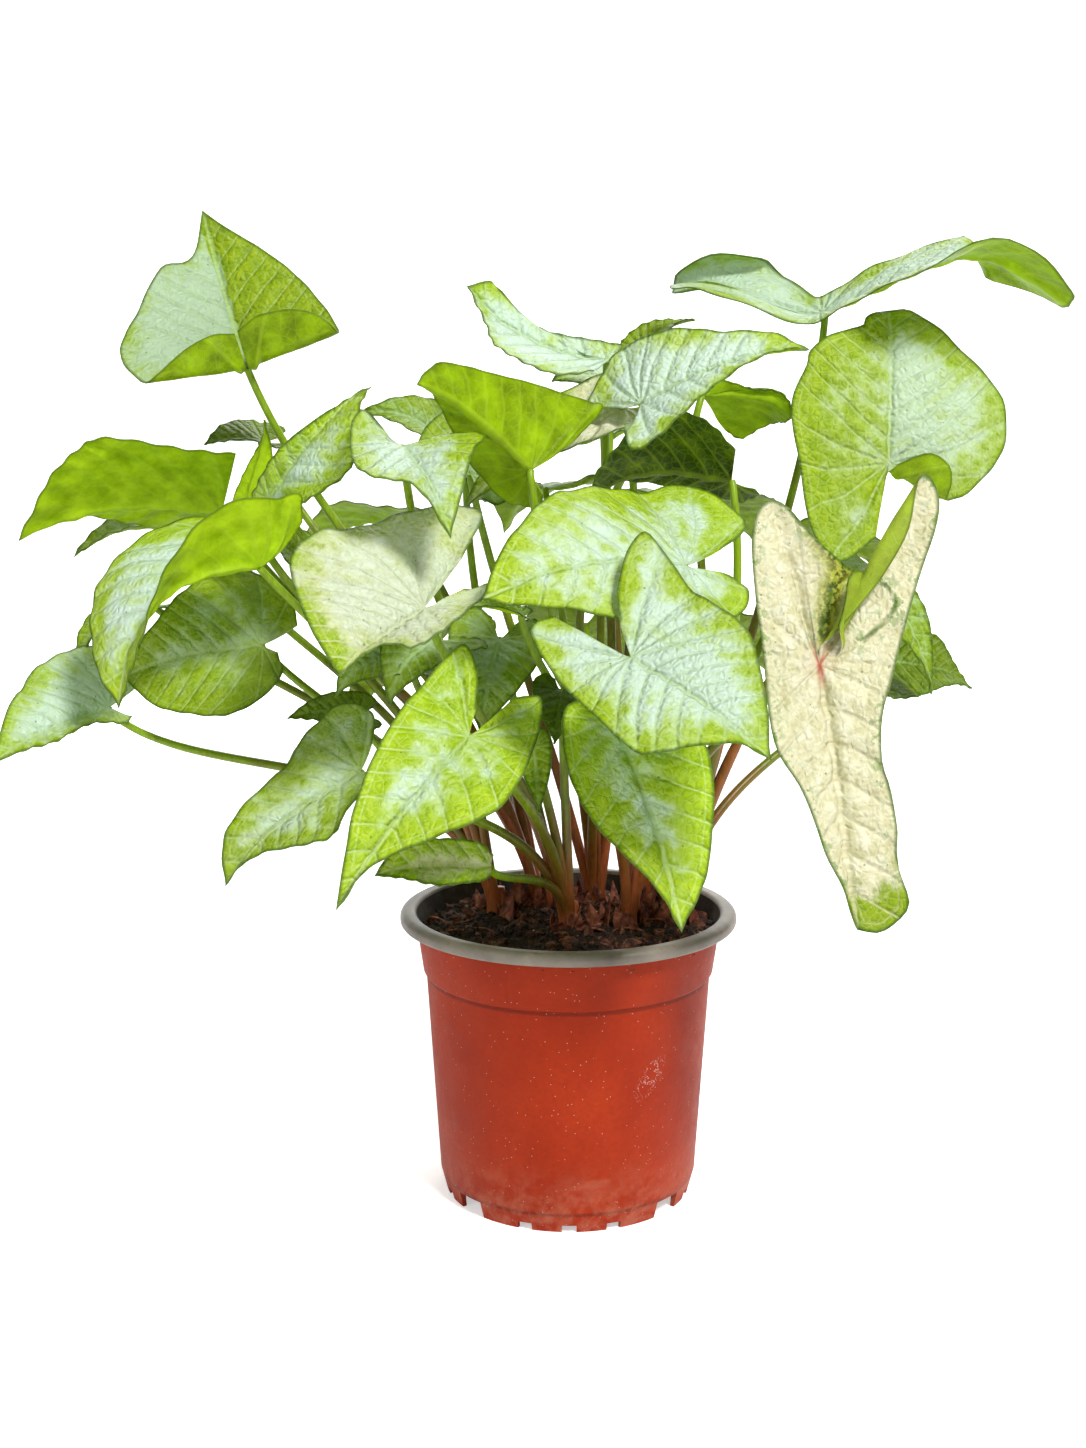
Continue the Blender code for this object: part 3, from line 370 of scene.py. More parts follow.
pot = make_mesh_object("Nursery_pot", turned("Nursery_pot", pot_profile, POT_STEPS), [])
cutter_group = bpy.data.collections.new("Foot cutters")
bpy.context.scene.collection.children.link(cutter_group)
for cutter in foot_cutters:
    for old in list(cutter.users_collection):
        old.objects.unlink(cutter)
    cutter_group.objects.link(cutter)
cut = pot.modifiers.new("Cut the foot", "BOOLEAN")
cut.operation = "DIFFERENCE"
cut.operand_type = "COLLECTION"
cut.collection = cutter_group
pot_mesh = shape_of(pot)
pot.modifiers.clear()
pot.data = pot_mesh
for cutter in foot_cutters:
    bpy.data.objects.remove(cutter, do_unlink=True)
bpy.data.collections.remove(cutter_group)
for material in (terracotta, weathered, inside_grey):
    pot.data.materials.append(material)
# The lip is grey from just under its edge to just inside it, and the wall inside is dark.
for face in pot.data.polygons:
    radius = math.hypot(face.center.x, face.center.y) / MM
    level = face.center.z / MM
    inward = face.normal.x * face.center.x + face.normal.y * face.center.y < 0
    outside = radius > COLLAR_RADIUS + LIP_SKIN_START
    if level > lip_low - LIP_SKIN_DROP and (outside or level > POT_HEIGHT - LIP_SKIN_DROP):
        face.material_index = 1
    elif level > FLOOR_HEIGHT - 0.5 and inward:
        face.material_index = 2
pot.data.shade_smooth()
pot.data.set_sharp_from_angle(angle=math.radians(POT_SHARP_ANGLE))
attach(pot, "root")
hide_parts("pot")


# The potting mix: peat crumbs and bark chips that fill the pot to just under its lip, with dry roots
# and a few pale grains. The body is one turned form, and the loose bits lie strewn over its top.
from mathutils import noise

GAP = 0.3
MIX_LEVEL = 95.5
MIX_CROWN = 2.5
MIX_STEPS = 120
MIX_RINGS = 40
MIX_RIM_GAP = 0.4
MIX_LUMPS_PER_MM = 0.16
MIX_LUMP_HEIGHT = 1.5
MIX_CRUMBS_PER_MM = 0.62
MIX_CRUMB_HEIGHT = 0.9
BED_DEPTH = 6.0
HALF_TURN = 3.1416
mix_rim = COLLAR_RADIUS - WALL - GAP - MIX_RIM_GAP


def mix_surface(x, y):
    """The height of the crumbly top in millimetres at a place seen from above."""
    radius = math.hypot(x, y)
    lumps = noise.fractal(Vector((x * MIX_LUMPS_PER_MM, y * MIX_LUMPS_PER_MM, 1.7)), 1.0, 2.0, 3)
    crumbs = noise.fractal(Vector((x * MIX_CRUMBS_PER_MM, y * MIX_CRUMBS_PER_MM, 9.1)), 0.8, 2.1, 4)
    crowned = MIX_LEVEL + MIX_CROWN * (1 - (radius / mix_rim) ** 2)
    return crowned + MIX_LUMP_HEIGHT * lumps + MIX_CRUMB_HEIGHT * crumbs


# Moist peat and composted bark: black-brown, matt, in clumps of about 4 mm with grit of 1 mm.
peat, tree = new_material("Moist peat and composted bark, matt")
place = add(tree, "ShaderNodeTexCoord", out="Object")
clumps = add(tree, "ShaderNodeTexNoise", {"Vector": place, "Scale": 260.0, "Detail": 8.0, "Roughness": 0.7})
stops = ((0.3, "#0D0907"), (0.46, "#241610"), (0.58, "#44261A"), (0.72, "#724834"))
peat_colour = add(tree, "ShaderNodeValToRGB", {0: clumps}, stops=stops)
grit = add(tree, "ShaderNodeTexNoise", {"Vector": place, "Scale": 900.0, "Detail": 5.0})
relief = add(tree, "ShaderNodeBump", {"Height": grit, "Strength": 0.8, "Distance": 0.0009})
look = {"Base Color": peat_colour, "Roughness": 0.88, "Normal": relief}
surface = add(tree, "ShaderNodeBsdfPrincipled", look)
add(tree, "ShaderNodeOutputMaterial", {"Surface": surface})

# Pine bark chips: red-brown corky flakes with fibres of 2.4 mm, lighter on broken edges.
bark, tree = new_material("Pine bark chips, rough")
place = add(tree, "ShaderNodeTexCoord", out="Object")
fibres = add(tree, "ShaderNodeTexNoise", {"Vector": place, "Scale": 420.0, "Detail": 6.0, "Distortion": 1.2})
stops = ((0.3, "#24120C"), (0.5, "#552A1C"), (0.66, "#84503A"), (0.8, "#B08A64"))
bark_colour = add(tree, "ShaderNodeValToRGB", {0: fibres}, stops=stops)
relief = add(tree, "ShaderNodeBump", {"Height": fibres, "Strength": 0.7, "Distance": 0.0006})
look = {"Base Color": bark_colour, "Roughness": 0.82, "Normal": relief}
surface = add(tree, "ShaderNodeBsdfPrincipled", look)
add(tree, "ShaderNodeOutputMaterial", {"Surface": surface})

# Dry roots and leaf sheaths: papery straw brown, streaked at 3 mm.
straw, tree = new_material("Dry root and sheath, papery")
place = add(tree, "ShaderNodeTexCoord", out="Object")
fibres = add(tree, "ShaderNodeTexNoise", {"Vector": place, "Scale": 300.0, "Detail": 6.0, "Distortion": 0.8})
stops = ((0.3, "#32150C"), (0.45, "#6E3220"), (0.6, "#96543A"), (0.75, "#B98A6A"))
straw_colour = add(tree, "ShaderNodeValToRGB", {0: fibres}, stops=stops)
surface = add(tree, "ShaderNodeBsdfPrincipled", {"Base Color": straw_colour, "Roughness": 0.7})
add(tree, "ShaderNodeOutputMaterial", {"Surface": surface})

# Perlite grains: white puffed glass, chalky.
perlite, tree = new_material("Perlite grain, chalky")
surface = add(tree, "ShaderNodeBsdfPrincipled", {"Base Color": linear("#D8CFA6"), "Roughness": 0.8})
add(tree, "ShaderNodeOutputMaterial", {"Surface": surface})

mix_profile = [(mix_rim * (i / MIX_RINGS) ** 0.9, MIX_LEVEL) for i in range(MIX_RINGS + 1)]
mix_profile += [
    (STEP_RADIUS - STEP_EDGE - WALL - GAP, STEP_HEIGHT - INNER_STEP_LOW),
    (BASE_RADIUS - WALL - GAP, FLOOR_HEIGHT + GAP),
    (PAD_RADIUS + 0.2, FLOOR_HEIGHT + GAP),
    (PAD_RADIUS - PAD_SLOPE - 0.4, PAD_THICKNESS + GAP),
    (0, PAD_THICKNESS + GAP),
]
mix = make_mesh_object("Potting_mix", turned("Potting_mix", mix_profile, MIX_STEPS), [peat])
for vertex in mix.data.vertices:
    x, y, z = vertex.co / MM
    if z > MIX_LEVEL - 1:
        vertex.co.z = mix_surface(x, y) * MM
mix.data.shade_smooth()
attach(mix, "root")
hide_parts("soil")

# The bed is the top of the mix alone, which the loose bits are strewn on.
bed_mesh = mix.data.copy()
bed_bm = bmesh.new()
bed_bm.from_mesh(bed_mesh)
bed_low = (MIX_LEVEL - BED_DEPTH) * MM
low_faces = [face for face in bed_bm.faces if min(v.co.z for v in face.verts) < bed_low]
bmesh.ops.delete(bed_bm, geom=low_faces, context="FACES")
bed_bm.to_mesh(bed_mesh)
bed_bm.free()


def node_group(title, inputs, output):
    """A tree that makes geometry: the tree, what its named inputs give, and the inputs' sockets."""
    group = bpy.data.node_groups.new(title, "GeometryNodeTree")
    sockets = {}
    for name, kind in inputs.items():
        socket_type = "NodeSocket" + kind
        sockets[name] = group.interface.new_socket(name=name, in_out="INPUT", socket_type=socket_type)
    group.interface.new_socket(name=output, in_out="OUTPUT", socket_type="NodeSocketGeometry")
    return group, group.nodes.new("NodeGroupInput").outputs, sockets


def grown(guide, group, sockets, values):
    """The plain mesh that a tree grows from a guide, with the modifier removed again."""
    growth = guide.modifiers.new(group.name, "NODES")
    growth.node_group = group
    for name, value in values.items():
        growth[sockets[name].identifier] = value
    mesh = shape_of(guide)
    guide.modifiers.clear()
    return mesh


# Strewing: random points on a bed, a turned and stretched copy of the bit on each.
strew_inputs = {
    "Bed": "Geometry",
    "Bit": "Object",
    "Bits per square metre": "Float",
    "Smallest": "Vector",
    "Largest": "Vector",
    "Most tilt": "Float",
    "Seed": "Int",
    "Finish": "Material",
}
strew, given, strew_sockets = node_group("Strew bits on the bed", strew_inputs, "Bits")
seed, tilt = given["Seed"], given["Most tilt"]
spots = {"Mesh": given["Bed"], "Density": given["Bits per square metre"], "Seed": seed}
spots = add(strew, "GeometryNodeDistributePointsOnFaces", spots)
bit = add(strew, "GeometryNodeObjectInfo", {"Object": given["Bit"]}, out="Geometry")
size = {"Min": given["Smallest"], "Max": given["Largest"], "Seed": seed}
size = add(strew, "FunctionNodeRandomValue", size, data_type="FLOAT_VECTOR")
negative_tilt = add(strew, "ShaderNodeMath", {0: tilt, 1: -1.0}, operation="MULTIPLY")
low_turn = add(strew, "ShaderNodeCombineXYZ", {"X": negative_tilt, "Y": negative_tilt, "Z": -HALF_TURN})
high_turn = add(strew, "ShaderNodeCombineXYZ", {"X": tilt, "Y": tilt, "Z": HALF_TURN})
turn = {"Min": low_turn, "Max": high_turn, "Seed": seed}
turn = add(strew, "FunctionNodeRandomValue", turn, data_type="FLOAT_VECTOR")
strewn = {"Points": spots, "Instance": bit, "Rotation": turn, "Scale": size}
strewn = add(strew, "GeometryNodeInstanceOnPoints", strewn)
strewn = add(strew, "GeometryNodeRealizeInstances", {"Geometry": strewn})
strewn = add(strew, "GeometryNodeSetMaterial", {"Geometry": strewn, "Material": given["Finish"]})
add(strew, "NodeGroupOutput", {"Bits": strewn})


def strewn_bits(name, bed, bit, density, smallest, largest, tilt, seed, material):
    """Many copies of one bit, about one unit in size, on a bed: smallest and largest in millimetres."""
    bits = make_mesh_object(name, bed, [])
    values = {
        "Bit": bit,
        "Bits per square metre": float(density),
        "Smallest": Vector(smallest) * MM,
        "Largest": Vector(largest) * MM,
        "Most tilt": tilt,
        "Seed": seed,
        "Finish": material,
    }
    bits.data = grown(bits, strew, strew_sockets, values)
    return bits


def lumpy_bit(name, subdivisions, roughness):
    """A bit about one unit across: an icosphere with its points moved in and out."""
    bm = bmesh.new()
    bmesh.ops.create_icosphere(bm, subdivisions=subdivisions, radius=0.5)
    for vertex in bm.verts:
        vertex.co *= 1 + roughness * noise.noise(vertex.co * 2.3 + Vector((subdivisions, 4.2, 0.7)))
    mesh = bpy.data.meshes.new(name)
    bm.to_mesh(mesh)
    bm.free()
    return make_mesh_object(name, mesh, [])


def curled_bit(name, turn, thickness, sides, steps):
    """A root about one unit long: an open curl with pointed ends."""
    line = bpy.data.curves.new(name, "CURVE")
    line.dimensions = "3D"
    line.bevel_depth = thickness
    line.bevel_resolution = sides
    line.use_fill_caps = True
    spline = line.splines.new("POLY")
    spline.points.add(steps)
    for i, point in enumerate(spline.points):
        t = i / steps
        a = math.radians(turn) * (t - 0.5)
        point.co = (0.5 * math.sin(a), 0.18 * math.cos(a) * (1 + t), 0.16 * math.sin(5 * t) + 0.05, 1)
        point.radius = 0.35 + 1.3 * math.sin(math.pi * t) ** 0.5
    guide = bpy.data.objects.new(name, line)
    bpy.context.scene.collection.objects.link(guide)
    mesh = shape_of(guide)
    bpy.data.objects.remove(guide, do_unlink=True)
    return make_mesh_object(name, mesh, [])


small_crumb = lumpy_bit("small crumb", subdivisions=1, roughness=0.7)
large_crumb = lumpy_bit("large crumb", subdivisions=2, roughness=0.9)
root_curl = curled_bit("root curl", turn=210, thickness=0.035, sides=0, steps=9)
# Each kind's bit, how many lie on a square metre, its smallest and largest size, tilt and seed
STREWN_BITS = (
    ("Mix_crumbs", small_crumb, 180000, (0.9, 0.9, 0.6), (2.0, 1.8, 1.3), 3.1, 3, peat),
    ("Mix_lumps", large_crumb, 26000, (2.0, 1.8, 1.2), (4.6, 3.6, 2.4), 1.0, 5, peat),
    ("Bark_chips", small_crumb, 22000, (3.0, 1.8, 1.0), (11.0, 5.6, 3.2), 0.9, 8, bark),
    ("Dry_roots", root_curl, 3000, (5.0, 5.0, 4.0), (13.0, 11.0, 9.0), 0.6, 13, straw),
    ("Perlite_grains", small_crumb, 2600, (0.9, 0.9, 0.8), (1.7, 1.5, 1.4), 3.1, 21, perlite),
)
for name, *kind in STREWN_BITS:
    bits = strewn_bits(name, bed_mesh.copy(), *kind)
    if name == "Dry_roots":
        bits.data.shade_smooth()
    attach(bits, "root")
    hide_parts("soil")
for bit in (small_crumb, large_crumb, root_curl):
    bpy.data.objects.remove(bit, do_unlink=True)

# The plan of the plant: seven shoots stand in the mix, and each leaf belongs to one of them. Every
# leaf is given by its joint, its tip, the way its upper side looks, and the form of its blade.
from dataclasses import dataclass

import numpy as np

# Where each shoot's crown stands on the mix, seen from above
CROWNS = {
    "front": (1, -8),
    "front_right": (21, -5),
    "right": (37, 6),
    "middle": (11, 28),
    "left": (-9, 22),
    "far_left": (-25, 12),
    "back": (27, 30),
}


@dataclass
class Leaf:
    """One leaf: where its stalk meets the blade, its tip, the way its upper side looks, and its form.

    left and right are the flat margin's points from the tip round the lobe, each as (along the
    midrib from the joint, away from the midrib), in millimetres. A side without points gets a plain
    arrowhead of the width and the lobe given. fold turns each half up at the midrib, in degrees,
    and sag lets it droop again outwards. unfold is how much flatter each half is at the tip, from
    the share of the length unfold_from on. arch and curl bend the blade along its midrib and at
    its tip, lift raises each lobe, wave ripples the margin, and bow bends the stalk, all in
    millimetres. Each roll is a line across one side of the flat blade, past which it rolls
    upward: side, point on the line, heading, radius and turn.
    tone is the silver of the left and right half, the cream, and the lightness of the green. That
    lightness also paints shade onto leaves inside and behind the plant, and brightness onto some
    that lie in shadow.
    """

    name: str
    shoot: str
    joint: tuple
    tip: tuple
    face: tuple
    left: tuple = ()
    right: tuple = ()
    fold: tuple = (14, 14)
    sag: tuple = (0.12, 0.12)
    arch: float = 6.0
    lift: tuple = (0, 0)
    curl: float = 4.0
    wave: float = 1.2
    width: float = 0.0
    lobe: float = 0.0
    bow: tuple = (0, 0, 0)
    unfold: tuple = (0, 0)
    unfold_from: float = 0.0
    rolls: tuple = ()
    tone: tuple = (0.5, 0.5, 0, 0.6)


LEAVES = (
    Leaf(
        "top_left", "left", (-110, 0, 293), (-129, 30, 346), (0.05, -0.8, 0.6), fold=(14, 22),
        sag=(0.1, 0.1), arch=-4, curl=-3,
        left=((49, 8), (46, 20), (28, 32), (14, 40), (1, 38), (-9, 28), (-17, 14), (-17, 5)),
        right=((44, 17), (22, 29), (-2, 34), (-13, 28), (-18, 14), (-17, 4)),
        rolls=((0, -1, 0, 180, 2.8, 125),), tone=(1.05, -0.4, 0, 0.63),
    ),
    Leaf(
        "left_upper", "far_left", (-122, 12, 243), (-187, -14, 237), (-0.15, 0.62, 0.75),
        left=((58, 22), (48, 31), (40, 34), (16, 30), (-2, 31)),
        right=((44, 8), (31, 13), (16, 21), (1, 30), (-8, 25)), fold=(10, 18), arch=7, curl=3,
        bow=(0, 4, 0), tone=(0.15, 0.15, 0, 0.88),
    ),
    Leaf(
        "left_back", "left", (-113, 45, 268), (-133, 40, 267), (0, -0.3, 0.9), width=16, lobe=10, arch=2,
        curl=1, wave=0.6, tone=(-0.3, -0.3, 0, 0.42),
    ),
    Leaf("left_tip", "far_left", (-141, 50, 236), (-184, 42, 229), (-0.1, -0.2, 0.9), arch=4, width=16),
    Leaf(
        "left_droop", "far_left", (-104, -23, 226), (-148, -46, 183), (-0.45, -0.4, 0.8),
        left=((56, 6), (40, 12), (22, 18), (4, 24), (-22, 22), (-19, 11)),
        right=((56, 14), (40, 30), (20, 34), (0, 28), (-14, 18)), sag=(0.1, 0.1), arch=16, lift=(2, 6),
        curl=2, fold=(84, 30), unfold=(74, 12), tone=(0.5, 0.62, 0, 0.88),
    ),
    Leaf(
        "left_fold", "left", (-103, -2, 248), (-69, -13, 287), (0.2, -0.6, 0.75),
        left=((41, 2), (27, 4), (12, 7), (-3, 8), (-7, 5)),
        right=((45, 11), (38, 23), (29, 26), (14, 20), (6, 12)), fold=(16, 16), arch=3,
        tone=(0.5, 0.6, 0, 1.0),
    ),
    Leaf(
        "left_strip", "left", (-112, 8, 247), (-103, 4, 275), (0.4, 0.6, 0.6), arch=2, wave=0.5, width=6,
        lobe=5, tone=(-0.2, -0.2, 0, 0.95),
    ),
    Leaf(
        "centre_left", "front", (-54, -39, 266), (-37, -67, 240), (0.15, -0.55, 0.8),
        left=((30, 8), (18, 16), (11, 24), (4, 20), (1, 9)),
        right=((25, 7), (19, 17), (8, 20), (-15, 12), (-21, 5), (-12, 2)), fold=(18, 8), arch=4, curl=3,
        bow=(-8, 20, 8), tone=(0.7, 0.75, 0, 0.8),
    ),
    Leaf(
        "pale_left", "front", (-46, -62, 216), (-69, -96, 202), (-0.2, -0.7, 0.65),
        left=((26, 4), (25, 14), (12, 16), (-26, 8), (-19, 2)), fold=(8, 30), sag=(0.1, 0.1), arch=1,
        right=((33, 23), (23, 37), (3, 43), (-14, 37), (-37, 31), (-54, 17), (-30, 7)),
        tone=(0.85, 0.75, 0.5, 0.8),
    ),
    Leaf(
        "left_disc", "far_left", (-109, 10, 196), (-157, 0, 188), (0, -0.8, 0.6),
        left=((41, 16), (30, 24), (18, 28), (6, 24), (-5, 13), (-5, 4)),
        right=((34, 15), (25, 25), (11, 34), (-1, 33), (-13, 16), (-14, 6)), fold=(8, 8), arch=3,
        tone=(0.22, 0.3, 0.1, 0.62),
    ),
    Leaf("left_behind", "far_left", (-150, 24, 209), (-178, 13, 190), (-0.3, -0.45, 0.8), width=11),
    Leaf(
        "left_far", "far_left", (-160, -6, 176), (-190, -40, 165), (0.1, -0.65, 0.7),
        left=((36, 3), (26, 7), (11, 6), (0, 9), (-5, 7)),
        right=((31, 14), (24, 18), (12, 26), (-8, 29), (-20, 18), (-19, 5)), fold=(10, 14), arch=2,
        tone=(0.7, 0.85, 0, 0.78),
    ),
    Leaf(
        "left_low", "front", (-68, -52, 162), (-110, -74, 132), (-0.15, -0.7, 0.7),
        left=((45, 2), (32, 14), (24, 20), (13, 13), (0, 7), (-3, 3)),
        right=((48, 8), (38, 12), (18, 16), (6, 23), (-11, 27), (-17, 16), (-9, 6)), fold=(14, 12), arch=5,
        curl=5, tone=(0.56, 0.64, 0.1, 0.68),
    ),
    Leaf(
        "front_left", "front", (-32, -72, 177), (-71, -100, 129), (0.05, -0.85, 0.5),
        left=((52, 2), (34, 14), (17, 24), (-11, 18), (-25, 10), (-20, 3)),
        right=((52, 7), (42, 12), (24, 18), (1, 22), (-23, 21), (-20, 12), (-9, 4)), fold=(16, 14), arch=9,
        curl=2, tone=(0.3, 0.3, 0, 0.92),
    ),
    Leaf(
        "low_olive", "front", (-26, -46, 129), (-62, -62, 132), (0.1, -0.7, 0.7),
        left=((33, 4), (22, 10), (8, 8), (2, 5)), right=((31, 7), (18, 9), (5, 8), (-1, 4)), arch=3,
        wave=0.6, tone=(0.32, 0.32, 0.8, 1.0),
    ),
    Leaf(
        "front_right", "front_right", (13, -64, 181), (34, -90, 120), (0.1, -0.86, 0.45),
        left=((58, 10), (44, 16), (30, 21), (16, 23), (2, 19), (-3, 9)),
        right=((55, 6), (35, 18), (19, 21), (5, 19), (-7, 13), (-8, 3)), arch=9,
        tone=(0.3, 0.38, 0, 1.0),
    ),
    Leaf(
        "front_mid", "front_right", (17, -92, 204), (54, -128, 182), (-0.1, -0.72, 0.68),
        left=((44, 12), (25, 26), (12, 29), (-4, 30), (-30, 36), (-23, 18), (-12, 7)),
        right=((48, 4), (37, 20), (29, 26), (7, 23), (-16, 19), (-30, 13), (-30, 4)), fold=(8, 10), arch=3,
        bow=(-8, 8, 5), lift=(7, 3), tone=(0.74, 0.72, 0, 0.8),
    ),
    Leaf(
        "centre_big", "front_right", (37, -40, 228), (-27, -74, 222), (0.05, -0.66, 0.75),
        left=((66, 7), (49, 18), (32, 27), (10, 29), (-12, 21), (-18, 12), (-12, 4)),
        right=((62, 12), (52, 20), (37, 31), (19, 36), (-1, 37), (-22, 37), (-31, 14), (-17, 5)),
        fold=(4, 8), sag=(0.2, 0.1), arch=7, lift=(4, 4), curl=3, tone=(0.62, 0.5, 0, 0.92),
    ),
    Leaf(
        "curled_bit", "middle", (-16, -30, 211), (-38, -34, 214), (0, -0.3, 0.9), width=5, lobe=4,
        bow=(8, -8, 0), arch=2, curl=1, wave=0.6, tone=(-0.1, -0.1, 0, 0.95),
    ),
    Leaf(
        "cream_right", "front_right", (74, -86, 201), (86.1, -94, 121.2), (0.05, -0.92, 0.3),
        fold=(12, 10), arch=4, wave=1.8, rolls=((-1, 0, 0, 129, 1.6, 140), (1, 0, 0, -59, 2.4, 140)),
        curl=0,
        right=(
            (72, 2), (66, 4), (57, 7), (48, 9.5), (35, 12.5), (23, 18), (9, 18), (-7, 16.5), (-23, 16),
            (-40, 14.5), (-49, 11), (-51, 6), (-48, 2), (-42, -2), (-34, -8), (-28, -14), (-21, -23),
            (-13, -25), (-5, -14),
        ),
        left=(
            (83, 7), (80, 13), (75, 16.6), (66, 15.4), (59, 14.6), (52, 15.6), (40, 15), (31, 13.5),
            (18, 15.5), (8, 20), (-3, 25), (-12, 29), (-24, 35), (-35, 41), (-44, 44), (-52, 41),
            (-48, 33), (-42, 23), (-32, 14), (-20, 7), (-9, 2),
        ), tone=(1.35, 1.3, 1.0, 0.6),
    ),
    Leaf(
        "right_round", "right", (108.4, -8, 260.1), (110.9, 10, 313.7), (0.05, -0.93, 0.3), fold=(8, 8),
        arch=2,
        left=(
            (53, 8), (49, 10), (45, 20), (38, 28), (32, 29.5), (21, 34), (11, 34), (-1, 31), (-24, 26),
            (-35, 16), (-26, 4),
        ),
        right=(
            (55, 8), (47, 17), (38, 26), (30, 35), (21, 40), (9, 40), (2, 37), (-4, 32), (-10, 26),
            (-12, 20), (-18, 15), (-21, 9), (-18, 2), (-8, -1),
        ),
        rolls=((1, -2, 3, 205, 2.2, 165),), tone=(0.22, 0.72, 0.1, 0.68),
    ),
    Leaf(
        "top_right", "right", (89.9, 24, 312.5), (155, -15.4, 334.6), (-0.2, -0.45, 0.85), bow=(0, 4, 0),
        wave=1.8, fold=(6, 20), unfold=(48, -28),
        left=(
            (77, 6), (62, 16), (45, 21), (22, 19), (6, 12), (-4, 9), (-12, 15), (-28, 24), (-42, 21),
            (-51, 12), (-50, 5), (-30, 1),
        ),
        rolls=((-1, -5, -21, -106, 2.4, 130),), arch=3, curl=27, unfold_from=0.62, lift=(19, 20),
        right=(
            (77, 8), (66, 18), (48, 21), (24, 17), (4, 13), (-8, 13), (-26, 15), (-40, 12), (-46, 6),
            (-42, 2), (-26, 0.3),
        ), tone=(0.95, 0.9, 0, 0.72),
    ),
    Leaf(
        "top_curl", "middle", (14, 22, 296), (-36, 24, 320), (0.15, -0.6, 0.75),
        left=((45, 10), (38, 21), (26, 23), (13, 20), (2, 12)),
        right=((50, 9), (37, 8), (27, 7), (11, 7), (-3, 7)), fold=(18, 14), arch=-6, curl=-2,
        tone=(0.95, 0.9, 0, 0.95),
    ),
    Leaf(
        "centre_funnel", "middle", (-13, -28, 258), (-48, -50, 287), (-0.25, 0.35, 0.85),
        left=((46, 9), (37, 12), (25, 16), (11, 24), (-5, 34), (-6, 20)), fold=(60, 10), arch=3, curl=3,
        width=18, lobe=14, tone=(0.1, 0.1, 0, 0.68),
    ),
    Leaf(
        "upper_mid", "middle", (24, -10, 280), (77, -24, 299), (-0.05, -0.66, 0.7),
        left=((50, 7), (32, 13), (17, 21), (-4, 26), (-14, 19), (-19, 11), (-8, 3)),
        right=((50, 2), (32, 10), (20, 16), (6, 24), (-3, 24), (-6, 11)), arch=5, curl=3,
        bow=(-16, 16, 10), tone=(0.85, 0.85, 0, 0.85),
    ),
    Leaf(
        "upper_tip", "back", (27, 60, 303), (48, 66, 314), (0, -0.3, 0.9), width=9, bow=(22, -16, 5),
        arch=2, curl=1, wave=0.6, tone=(0.1, 0.1, 0, 0.6),
    ),
    Leaf(
        "pale_behind", "middle", (16, 46, 291), (-6, 40, 290), (0, -0.6, 0.75), width=14, bow=(-4, -4, 0),
        arch=2, curl=1, wave=0.6, tone=(0.7, 0.7, 0.2, 0.8),
    ),
    Leaf(
        "cream_behind", "middle", (19, 11, 279), (-38, 1, 246), (-0.1, -0.7, 0.7), fold=(20, 20), lobe=8,
        width=16, tone=(0.9, 0.9, 0.8, 0.75),
    ),
    Leaf(
        "dark_centre", "right", (56, 0, 254), (5, -6, 250), (0, 0.62, 0.75),
        left=((46, 11), (38, 17), (28, 25), (18, 26), (9, 23), (1, 14)), arch=7, lobe=10, width=13,
        tone=(0.1, 0.1, 0, 0.3),
    ),
    Leaf(
        "olive_right", "back", (48, 30, 284), (81, 24, 279), (0.1, 0.55, 0.75),
        left=((29, 11), (16, 30), (8, 24)), right=((28, 4), (19, 4), (8, 5), (1, 5)), arch=3,
        tone=(0.1, 0.1, 0.1, 0.82),
    ),
    Leaf("green_back", "left", (-36.5, 40, 260), (-74, 30, 280.3), (0, -0.5, 0.8), width=20, lobe=12),
    Leaf("grey_back", "middle", (-35, 16, 257), (-32, 34, 284), (0, -0.7, 0.7), width=20, lobe=12),
    Leaf(
        "right_silver", "right", (110, 28, 223), (133, 14, 179), (0.3, -0.7, 0.6),
        left=((39, 4), (25, 7), (11, 8), (-2, 8)), arch=4, width=16, lobe=12, tone=(0.6, 0.65, 0, 0.62),
    ),
    Leaf(
        "right_dark", "right", (120, 46, 186), (152, 38, 179), (0, -0.6, 0.75),
        left=((24, 6), (16, 13), (6, 14), (-2, 10)), right=((23, 11), (15, 20), (7, 25), (2, 20)), arch=3,
        tone=(-0.1, -0.1, 0, 0.4),
    ),
    Leaf(
        "left_gap", "left", (-93, 12, 225), (-109, 8, 237), (-0.2, -0.5, 0.8), width=12, arch=2, curl=1,
        wave=0.6, tone=(-0.3, -0.3, 0, 0.6),
    ),
    Leaf("inner_left", "far_left", (-44, -18, 201), (-61, -34, 183), (-0.1, -0.6, 0.75), width=18),
    Leaf("inner_mid", "front", (-24, -8, 200), (-30, -26, 170), (0, -0.85, 0.5), width=18),
    Leaf(
        "inner_narrow", "front", (-12, -40, 168), (-10, -50, 147), (0, -0.9, 0.4), width=6, arch=2, curl=1,
        wave=0.6, tone=(-0.3, -0.3, 0, 0.6),
    ),
    Leaf(
        "inner_dark", "front", (-3, -30, 185), (-5, -40, 169), (0, -0.9, 0.4), width=10, arch=2, curl=1,
        wave=0.6, tone=(-0.3, -0.3, 0, 0.2),
    ),
    Leaf("bright_left", "far_left", (-56, -14, 195), (-79, -26, 185), (-0.1, -0.7, 0.7), width=16),
    Leaf(
        "left_sliver", "far_left", (-74, 0, 173), (-98, -8, 173), (0, -0.6, 0.8), width=10, arch=2, curl=1,
        wave=0.6, tone=(0.2, 0.2, 0, 0.5),
    ),
    Leaf(
        "rear_left", "left", (-60, 72, 238), (-112, 120, 220), (-0.3, 0.4, 0.85), width=25, lobe=22,
        bow=(4, 0, 0), tone=(0.45, 0.5, 0, 0.75),
    ),
    Leaf("rear_mid", "middle", (-8, 82, 250), (-26, 150, 232), (-0.1, 0.55, 0.8), width=27, lobe=24),
